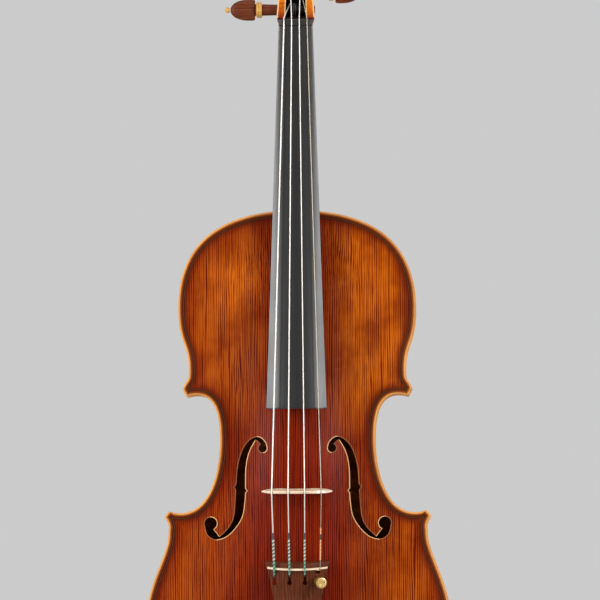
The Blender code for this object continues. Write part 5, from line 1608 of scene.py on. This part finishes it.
def tailpiece_top(x, z):
    share = (TAILPIECE_TOP_Z - TAILPIECE_FRET_AT - z) / TAILPIECE_LENGTH
    return string_line(x, z) + FRET_HEIGHT - TAILPIECE_RISE * share


def square_to_face(x, y, z):
    """Leans a cross-section until it stands square to the strings behind the bridge."""
    return (x, y, z + TAILPIECE_LEAN * (y - tailpiece_top(tailpiece_half_width(z), z)))


def ridged_top(x, z):
    """The crown turns into two flanks that meet in a ridge, below the string holes."""
    half = tailpiece_half_width(z)
    crown = tailpiece_top(x, z)
    middle = tailpiece_top(0, z) - 0.0004
    drop = tailpiece_top(half, z) - middle
    flank = middle + drop * (abs(x) / half) ** 0.82
    return crown + (flank - crown) * ease(0, 1, (HOLE_Z + 0.002 - z) / 0.016)


def tuner_frame():
    """Axes of the tuner: across, along the tailpiece to the fret, and out along the screw."""
    z = TAILPIECE_TOP_Z - TUNER_DROP
    step = 0.001
    slope = (tailpiece_top(0, z + step) - tailpiece_top(0, z)) / step
    along = Vector((0, slope, 1)).normalized()
    lean = math.radians(TUNER_LEAN)
    across = Vector((math.cos(lean), math.sin(lean), 0))
    out = across.cross(along).normalized()
    across = along.cross(out).normalized()
    place = Vector((TUNER_X, tailpiece_top(TUNER_X, z), z))
    return Matrix.Translation(place) @ Matrix((across, along, out)).transposed().to_4x4()


def gut_y():
    return tailpiece_top(GUT_SPREAD / 2, TAILPIECE_AT) + 0.5 * TAILPIECE_EDGE


def box_cutter(place, low, high):
    """A block between two corners of a frame, to cut a slot with."""
    rows = []
    for z in (low[2], high[2]):
        square = ((low[0], low[1]), (high[0], low[1]), (high[0], high[1]), (low[0], high[1]))
        rows.append([tuple(place @ Vector((x, y, z))) for x, y in square])
    return skin(rows)


rows = []
shares = [0, 0.002, 0.006, 0.012] + [0.012 + 0.968 * i / 44 for i in range(1, 45)] + [0.990, 0.996, 1.0]
for share in shares:
    z = TAILPIECE_TOP_Z - share * TAILPIECE_LENGTH
    half = tailpiece_half_width(z)
    end_round = max(0, 0.002 - share * TAILPIECE_LENGTH) ** 2 * 150
    if share > 0.97:
        half -= 0.002 * ((share - 0.97) / 0.03) ** 2
    edge = tailpiece_top(half, z) + TAILPIECE_EDGE
    ring = []
    for i in range(33):
        x = (half - 0.0008) * (i / 16 - 1)
        ring.append((x, ridged_top(x, z) + end_round, z))
    low = ridged_top(half - 0.0008, z) + end_round
    ring += [(half - 0.0003, low + 0.0003, z), (half, low + 0.0010, z), (half, edge - 0.0007, z)]
    ring += [(half - 0.0003, edge - 0.0001, z)]
    hollow = TAILPIECE_HOLLOW * (2 * half / TAILPIECE_WIDTH) ** 2
    for i in range(1, 12):
        across = 1 - i / 6
        ring.append((across * half, edge - hollow * (1 - across**2), z))
    ring += [(-half + 0.0003, edge - 0.0001, z), (-half, edge - 0.0007, z)]
    ring += [(-half, low + 0.0010, z), (-half + 0.0003, low + 0.0003, z)]
    rows.append([square_to_face(*spot) for spot in ring])
tools = []
for index in range(3):
    x = FRET_SPREAD * share_of(index)
    y = string_line(x, HOLE_Z)
    keyhole = arc((x, HOLE_Z), KEYHOLE_RADIUS, 122, 418, 24)
    keyhole += arc((x, HOLE_Z + KEYHOLE_SLOT_LENGTH), KEYHOLE_SLOT / 2, 0, 180, 8)
    tools.append(skin([[(px, level, pz) for px, pz in keyhole] for level in (y - 0.01, y + 0.02)]))
for flip in (1, -1):
    x, y = flip * GUT_SPREAD / 2, gut_y()
    ends = ((x, y, TAILPIECE_AT - 0.01), (x, y, TAILPIECE_AT + 0.012))
    tools.append(rod(*ends, GUT_RADIUS + GAP))
tuner = tuner_frame()
seats = ((-0.02, 0.02, 0.0029), (-GAP, 0.02, 0.0043))
for low, high, radius in seats:
    tools.append(rod(tuner @ Vector((0, 0, low)), tuner @ Vector((0, 0, high)), radius))
slot_ends = (TUNER_ARM - 0.0031, TUNER_ARM + 0.0014)
tools.append(box_cutter(tuner, (-0.002, slot_ends[0], -0.02), (0.002, slot_ends[1], 0.02)))
TAIL_WOOD = rosewood("tailpiece rosewood")
tail = carve(skin(rows), tools)
piece("tailpiece_carved", tail, TAIL_WOOD, stands_for=["tailpiece"], smooth=32)


# Fret, saddle, end button and tail gut: what the tailpiece bears on and hangs from.
# The fret is bone, the saddle ebony, the button rosewood and the gut a nylon loop.
def bone():
    """Bone: ivory white with fine pores and a soft polish."""
    made, tree, shader = new_material("bone", 0.3)
    _, _, fibre, cloud = figure_of(tree, 0.0012, 1.0, ACROSS)
    colour = ramp(tree, fibre, (0.25, (0.66, 0.48, 0.31)), (0.60, (0.86, 0.69, 0.49)))
    give_colour(tree, shader, colour)
    varnish_of(tree, shader, cloud, 0.24, 0.36)
    give_bump(tree, shader, fibre, 0.05, 0.0001)
    return made


z = TAILPIECE_TOP_Z - TAILPIECE_FRET_AT
half = tailpiece_half_width(z) - GAP
levels = []
for i in range(65):
    x = half * (i / 32 - 1)
    end = max(abs(x) / half - 0.97, 0) / 0.03
    levels.append((x, string_line(x, z) + 0.0009 * end**2))
under = [(x, tailpiece_top(x, z) - GAP / 2) for x, _ in reversed(levels)]
rounding = ((0.55, 0.00005), (0.86, 0.00035), (1, 0.0009))
fret_steps = [(-along, drop) for along, drop in reversed(rounding)] + [(0, 0), *rounding]
rows = []
for along, drop in fret_steps:
    level = z + along * FRET_WIDTH / 2
    row = [(x, y + drop, level) for x, y in levels] + [(x, y, level) for x, y in under]
    rows.append([square_to_face(*spot) for spot in row])
piece("tailpiece_fret_rounded", skin(rows), bone(), stands_for=["tailpiece_fret"], smooth=40)

top = -HALF_RIB - EDGE_THICKNESS - SADDLE_HEIGHT
half = SADDLE_WIDTH / 2
shoulder = -HALF_RIB - EDGE_THICKNESS
side = [(1.0, -HALF_RIB - GAP), (1.0, shoulder - 0.0003), (0.985, shoulder - 0.0007)]
for i in range(1, 9):
    side.append((ease(0.985, 0.42, i / 8), shoulder - 0.0007 + (top - shoulder + 0.0007) * (i / 8) ** 1.4))
side += [(0.28, top), (0.14, top)]
outline = [(x * half, y) for x, y in side] + [(0, top)] + [(-x * half, y) for x, y in reversed(side)]
near, far = BODY_BOTTOM - 0.0003, BODY_BOTTOM + SADDLE_DEPTH
rows = []
for z, drop in (
    (near, 0.0013),
    (near + 0.0003, 0.0006),
    (near + 0.001, 0.0001),
    (near + 0.002, 0),
    (far - 0.002, 0.0002),
    (far - 0.0006, 0.0008),
    (far, 0.0018),
):
    rows.append([(x, min(y + drop, -HALF_RIB - GAP), z) for x, y in outline])
piece("saddle_rounded", skin(rows), NUT_EBONY, stands_for=["saddle"], smooth=40)

profile = [
    (0, 0),
    (0, 0.0020),
    (0.0003, 0.0034),
    (0.0009, 0.0050),
    (0.0018, 0.0063),
    (0.0030, 0.0071),
    (0.0042, 0.0075),
    (0.0056, 0.0073),
    (0.0068, 0.0067),
    (0.0078, 0.0060),
    (0.0086, 0.0054),
    (0.0096, 0.0052),
    (0.0112, 0.0051),
    (0.0134, 0.0048),
    (0.01345, BUTTON_PIN_RADIUS),
    (0.0295, 0.0036),
    (0.0295, 0),
]
end_button = turned(profile, Matrix(), 48, "Z")
piece("end_button_turned", end_button, TAIL_WOOD, stands_for=["end_button"])


def tube(points, radii, corners=16):
    """A round tube along a path, with a radius for each of its points."""
    path = [Vector(point) for point in points]
    across = None
    rows = []
    for i, point in enumerate(path):
        ahead = (path[min(i + 1, len(path) - 1)] - path[max(i - 1, 0)]).normalized()
        across = across or ahead.orthogonal()
        across = (across - ahead * across.dot(ahead)).normalized()
        upward = ahead.cross(across)
        ring = []
        for k in range(corners):
            a = 2 * math.pi * k / corners
            ring.append(tuple(point + radii[i] * (across * math.cos(a) + upward * math.sin(a))))
        rows.append(ring)
    return skin(rows)


def smooth_path(points, steps):
    return spline(points, steps) + [points[-1]]


half = GUT_SPREAD / 2
lift = GAP + GUT_RADIUS
over = top - lift
below = BODY_BOTTOM - 0.0003 - lift
groove = BUTTON_PIN_RADIUS + 0.0012 + lift
groove_z = BODY_BOTTOM + 0.0005
side = [
    (half, gut_y(), TAILPIECE_AT + 0.011),
    (half, gut_y(), TAILPIECE_AT - 0.0006),
    (half, over, BODY_BOTTOM + 0.0004),
    (half, over + 0.0003, below + 0.0004),
    (half, over + 0.0015, below),
    (0.5 * (half + groove), -HALF_RIB, below),
    (groove, -groove, groove_z - 0.0005),
]
loop = [(x, y, groove_z) for x, y in arc((0, 0), groove, 0, 180, 12)]
path = smooth_path(side + loop + [(-x, y, z) for x, y, z in reversed(side)], 4)


def nylon():
    made, tree, shader = new_material("nylon", 0.32)
    _, _, fibre, cloud = figure_of(tree, 0.001, 1.0)
    colour = ramp(tree, cloud, (0.3, (0.012, 0.012, 0.013)), (0.7, (0.026, 0.026, 0.028)))
    give_colour(tree, shader, colour)
    give_bump(tree, shader, fibre, 0.05, 0.0001)
    return made


gut = tube(path, [GUT_RADIUS] * len(path))
piece("tail_gut_loop", gut, nylon(), stands_for=["tail_gut"])


# Fine tuner of the A string: a gilt brass frame, screw and lever, with a knurled knob.
# The knob turns the screw, whose tip presses the lever that draws the string.
def brass():
    """Gilt brass, lightly tarnished in clouds and scratched by the fingers."""
    made, tree, shader = new_material("gilt brass", 0.28)
    shader.inputs["Metallic"].default_value = 1.0
    place = place_of(tree)
    cloud = noise(tree, place, 420.0, 4.0)
    scratch = noise(tree, place, 2600.0, 3.0)
    colour = ramp(tree, cloud, (0.32, (0.45, 0.27, 0.085)), (0.58, (0.80, 0.56, 0.22)))
    give_colour(tree, shader, colour)
    give_polish(tree, shader, cloud, 0.42, 0.24)
    give_bump(tree, shader, scratch, 0.10, 0.0001)
    return made


BRASS = brass()
for name in ("tuner_bracket", "tuner_screw", "tuner_lever"):
    finish_node(name, BRASS)
rings = []
for share, reach, knurled in (
    (0.0, 0.70, 0),
    (0.0, 0.86, 0),
    (0.05, 0.93, 0),
    (0.12, 0.97, 1),
    (0.24, 1.0, 1),
    (0.50, 1.0, 1),
    (0.76, 1.0, 1),
    (0.88, 0.97, 1),
    (0.94, 0.92, 0),
    (0.98, 0.84, 0),
    (1.0, 0.74, 0),
    (0.97, 0.40, 0),
    (0.95, 0.20, 0),
):
    ring = []
    for k in range(144):
        ridge = 0.00018 if knurled and k % 4 in (0, 1) else 0
        radius = TUNER_KNOB_RADIUS * reach - ridge
        a = 2 * math.pi * k / 144
        spot = (radius * math.cos(a), radius * math.sin(a), TUNER_KNOB_AT + share * TUNER_KNOB_HEIGHT)
        ring.append(tuple(tuner @ Vector(spot)))
    rings.append(ring)
piece("tuner_knob_knurled", skin(rings), BRASS, "tuner_screw", ["tuner_knob"], 30)


# Strings: wire wound on a core, held in the tailpiece, with coloured silk over both ends.
# The silk end wound three times on the peg, darkened nearly black as painted shade, is a piece of its own,
# blended from body to peg.
def wire(name, colour, roughness):
    """Flat ribbon wound and polished so finely that it shows as a satin sheen."""
    made, tree, shader = new_material(name, roughness)
    shader.inputs["Metallic"].default_value = 1.0
    place = place_of(tree)
    ribbon = noise(tree, place, 900.0, 2.0)
    tint = ramp(tree, ribbon, (0.3, tuple(0.85 * part for part in colour)), (0.7, colour))
    give_colour(tree, shader, tint)
    return made


def silk(name, pale, dark, share=0.5):
    """Silk thread wound over the wire: two colours in a steep twist."""
    made, tree, shader = new_material(name, 0.7)
    stripe = attribute(tree, "stripe")
    place = place_of(tree)
    thread = noise(tree, place, 5200.0, 3.0)
    edge = math_node(tree, "MULTIPLY_ADD", thread, 0.5, math_node(tree, "ADD", stripe, -0.25))
    factor = remap(tree, edge, share - 0.12, share + 0.12)
    colour = mix(tree, factor, dark, pale)
    colour = clouded(tree, colour, thread, 0.30, (0.72, 0.72, 0.72), 0.65)
    give_colour(tree, shader, colour)
    shader.inputs["Sheen Weight"].default_value = 0.3
    give_bump(tree, shader, math_node(tree, "MULTIPLY_ADD", stripe, 0.6, thread), 0.35, 0.0001)
    return made


SILVER_WIRE = wire("silver wire", (0.70, 0.66, 0.61), 0.42)
STEEL_WIRE = wire("steel wire", (0.42, 0.36, 0.28), 0.38)
GREEN_SILK = silk("green silk", (0.52, 0.60, 0.50), (0.012, 0.045, 0.030), 0.36)
GREEN_WRAP = silk("green wrap", (0.15, 0.42, 0.29), (0.012, 0.12, 0.075), 0.42)
GREY_SILK = silk("grey silk", (0.055, 0.055, 0.075), (0.035, 0.028, 0.040))
# Painted shade: the silk wound on the pegs is made nearly black.
SHADED_PEG_SILK = silk("peg silk", (0.020, 0.022, 0.020), (0.010, 0.010, 0.010))
ORANGE_SILK = silk("orange silk", (0.86, 0.46, 0.25), (0.70, 0.33, 0.15))
BROWN_SILK = silk("brown silk", (0.09, 0.045, 0.016), (0.05, 0.025, 0.010))
LONG_SILK = (
    (0.1285, 0.1391, 0.00032, GREEN_WRAP),
    (0.1391, 0.1570, 0.00032, GREEN_SILK),
    (0.1570, 0.1617, 0.00025, GREY_SILK),
)
SHORT_SILK = (
    (0.1398, 0.1560, 0.00026, ORANGE_SILK),
    (0.1563, 0.1604, 0.00050, BROWN_SILK),
    (0.1605, 0.1656, 0.00026, ORANGE_SILK),
)


def between(path, z):
    """The point of a path at height z, where the path climbs steadily."""
    for low, high in zip(path, path[1:]):
        if low[2] <= z <= high[2]:
            share = (z - low[2]) / (high[2] - low[2])
            return tuple(a + (b - a) * share for a, b in zip(low, high))
    return path[-1]


WINDINGS = 3
SILK_TWIST = 0.0029
SILK_THICKNESS = 0.0003
WINDING_CLEARANCE = 0.00055


def sleeve(name, path, low, high, radius, look):
    """A silk sleeve on the string from one height to another, with its twist marked."""
    count = max(int((high - low) / 0.0003), 4)
    heights = [low + (high - low) * i / count for i in range(count + 1)]
    spots = [between(path, z) for z in heights]
    radii = [radius * (0.72 if i in (0, count) else 1.0) for i in range(count + 1)]
    bm = tube(spots, radii, 20)
    stripe = bm.verts.layers.float.new("stripe")
    for vert in bm.verts:
        x, y, _ = between(path, vert.co.z)
        a = math.atan2(vert.co.y - y, vert.co.x - x)
        vert[stripe] = 0.5 + 0.5 * math.sin(a - 2 * math.pi * vert.co.z / SILK_TWIST)
    piece(name, bm, look, smooth=60)


fret_z = TAILPIECE_TOP_Z - TAILPIECE_FRET_AT
for index, (name, radius) in enumerate(STRINGS):
    share = share_of(index)
    lift = GAP / 3 + radius
    nut_x, bridge_x, fret_x = NUT_SPREAD * share, BRIDGE_SPREAD * share, FRET_SPREAD * share
    (y, z), head = PEG_PLACES[name]
    coil = peg_radius(PEGBOX_HOLLOW / 2) + GAP + radius
    pitch = 2 * radius + WINDING_CLEARANCE
    wall = pegbox_half(z, PEGBOX_HOLLOW, THROAT_HOLLOW) - radius - 2 * GAP
    start = min(wall, pitch * WINDINGS)
    nut_far = NUT_Z + NUT_LENGTH + GAP
    nut_y = nut_top(nut_x) - lift
    away = math.hypot(nut_y - y, nut_far - z)
    entry = math.atan2(nut_far - z, nut_y - y) - math.acos(coil / away)
    silk_radius = radius + SILK_THICKNESS
    silk_lift = GAP / 3 + silk_radius
    bearing = string_line(fret_x, fret_z) - silk_lift
    if name == "a":
        hook = tuner @ Vector((0, TUNER_ARM, TUNER_HOOK_HEIGHT + lift))
        tail_end = [tuple(hook), tuple(hook.lerp(Vector((fret_x, bearing + 0.0003, fret_z)), 0.6))]
        bearing += silk_radius - radius
    else:
        low = tailpiece_top(fret_x, HOLE_Z + 0.0075)
        tail_end = [(fret_x, low + 0.0034, HOLE_Z + 0.0042), (fret_x, low + 0.0010, HOLE_Z + 0.0056)]
        tail_end += [(fret_x, low - silk_radius - 0.0001, HOLE_Z + 0.0077)]
    over_fret = square_to_face(fret_x, bearing, fret_z)[2]
    on_fret = [(fret_x, bearing, over_fret - 0.0006), (fret_x, bearing - 0.0001, over_fret + 0.0006)]
    crest = bridge_crown(bridge_x) - lift
    after = [(bridge_x, crest, BRIDGE_Z - BRIDGE_FOOT / 2 - GAP), (bridge_x, crest, BRIDGE_Z - 0.0012)]
    tangent = (head * start, y + coil * math.cos(entry), z + coil * math.sin(entry))
    run_up = [(nut_x, nut_y, NUT_Z), (nut_x, nut_y, nut_far), tangent]
    behind = tail_end + on_fret + after
    path = behind + run_up
    piece(
        f"string_{name}_run",
        tube(path, [radius] * len(path), 16),
        STEEL_WIRE if name == "a" else SILVER_WIRE,
        stands_for=[f"string_{name}"],
        smooth=60,
    )
    winding = []
    for i in range(WINDINGS * 32 + 1):
        a = entry - 2 * math.pi * i / 32
        x = head * (start - pitch * i / 32)
        winding.append((x, y + coil * math.cos(a), z + coil * math.sin(a)))
    winding.append(tuple(e + (e - b) * 0.8 for e, b in zip(winding[-1], winding[-2])))
    coiled = piece(
        f"string_{name}_winding",
        tube(winding, [radius] * len(winding), 12),
        SHADED_PEG_SILK,
        body=None,
        smooth=60,
    )
    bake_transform(coiled, "body", f"peg_{name}", start=(head * start, y, z), end=(0, y, z))
    for rank, (low, high, thick, look) in enumerate(SHORT_SILK if name == "a" else LONG_SILK):
        sleeve(f"string_{name}_silk_{rank}", behind, low, high, radius + thick, look)


# Studio: a pale floor that fades into the backdrop's grey, and tall soft lamps at both sides.
# The camera stands well back, as for a long lens, and looks up a little.
BACKDROP = (0.60, 0.60, 0.60)


def sees_backdrop(tree):
    """1 where the camera, a reflection or a view through glass looks at the backdrop."""
    path = node(tree, "LightPath")
    seen = math_node(tree, "ADD", path.outputs["Is Camera Ray"], path.outputs["Is Glossy Ray"])
    return math_node(tree, "ADD", seen, path.outputs["Is Transmission Ray"], clamp=True)


def pale_floor():
    made, tree, shader = new_material("pale floor", 0.6)
    place = place_of(tree)
    mottle = noise(tree, place, 14.0, 3.0)
    colour = ramp(tree, mottle, (0.3, (0.55, 0.55, 0.55)), (0.7, (0.57, 0.57, 0.57)))
    give_colour(tree, shader, colour)
    glow = node(tree, "Emission", {"Color": (*BACKDROP, 1.0)}).outputs[0]
    far = node(tree, "VectorMath", {0: place}, operation="LENGTH").outputs["Value"]
    far = remap(tree, far, 0.5, 1.6)
    fade = times(tree, far, sees_backdrop(tree))
    both = node(tree, "MixShader", {0: fade, 1: shader.outputs[0], 2: glow}).outputs[0]
    tree.links.new(both, tree.nodes["Material Output"].inputs["Surface"])
    return made


bm = bmesh.new()
bmesh.ops.create_grid(bm, x_segments=8, y_segments=8, size=30.0)
ground = object_of("floor", bm)
ground.data.materials.append(pale_floor())

world = bpy.data.worlds.new("studio")
bpy.context.scene.world = world
world.use_nodes = True
tree = world.node_tree
sky = tree.nodes["Background"]
tree.links.new(mix(tree, sees_backdrop(tree), (0.34, 0.34, 0.34), BACKDROP), sky.inputs["Color"])

AIM = Vector((0.0025, -0.02, 0.3475))
for label, spot, wide, tall, power in (
    ("left", (-1.56, -1.10, 0.62), 0.7, 1.9, 42),
    ("right", (1.52, -1.16, 0.55), 0.6, 1.9, 36),
    ("over", (0.0, -0.9, 2.2), 1.2, 0.8, 9),
):
    lamp = bpy.data.lights.new(label, "AREA")
    lamp.shape = "RECTANGLE"
    lamp.size = wide
    lamp.size_y = tall
    lamp.energy = power
    obj = bpy.data.objects.new(label, lamp)
    bpy.context.collection.objects.link(obj)
    obj.location = spot
    obj.rotation_euler = (AIM - Vector(spot)).to_track_quat("-Z", "Y").to_euler()

DISTANCE = 10.0
PICTURE_WIDTH = 0.478
YAW = math.radians(1.2)
RISE = math.radians(-1.6)
ROLL = math.radians(-0.26)
camera = bpy.data.cameras.new("camera")
camera.sensor_width = 36.0
camera.lens = camera.sensor_width * DISTANCE / PICTURE_WIDTH
camera.clip_end = 60.0
eye = bpy.data.objects.new("camera", camera)
bpy.context.collection.objects.link(eye)
eye.location = AIM + DISTANCE * Vector((math.sin(YAW), -math.cos(YAW), math.sin(RISE)))
facing = (AIM - eye.location).to_track_quat("-Z", "Y").to_matrix()
eye.rotation_euler = (facing @ Matrix.Rotation(ROLL, 3, "Z")).to_euler()
bpy.context.scene.camera = eye
bpy.context.scene.view_settings.view_transform = "Standard"
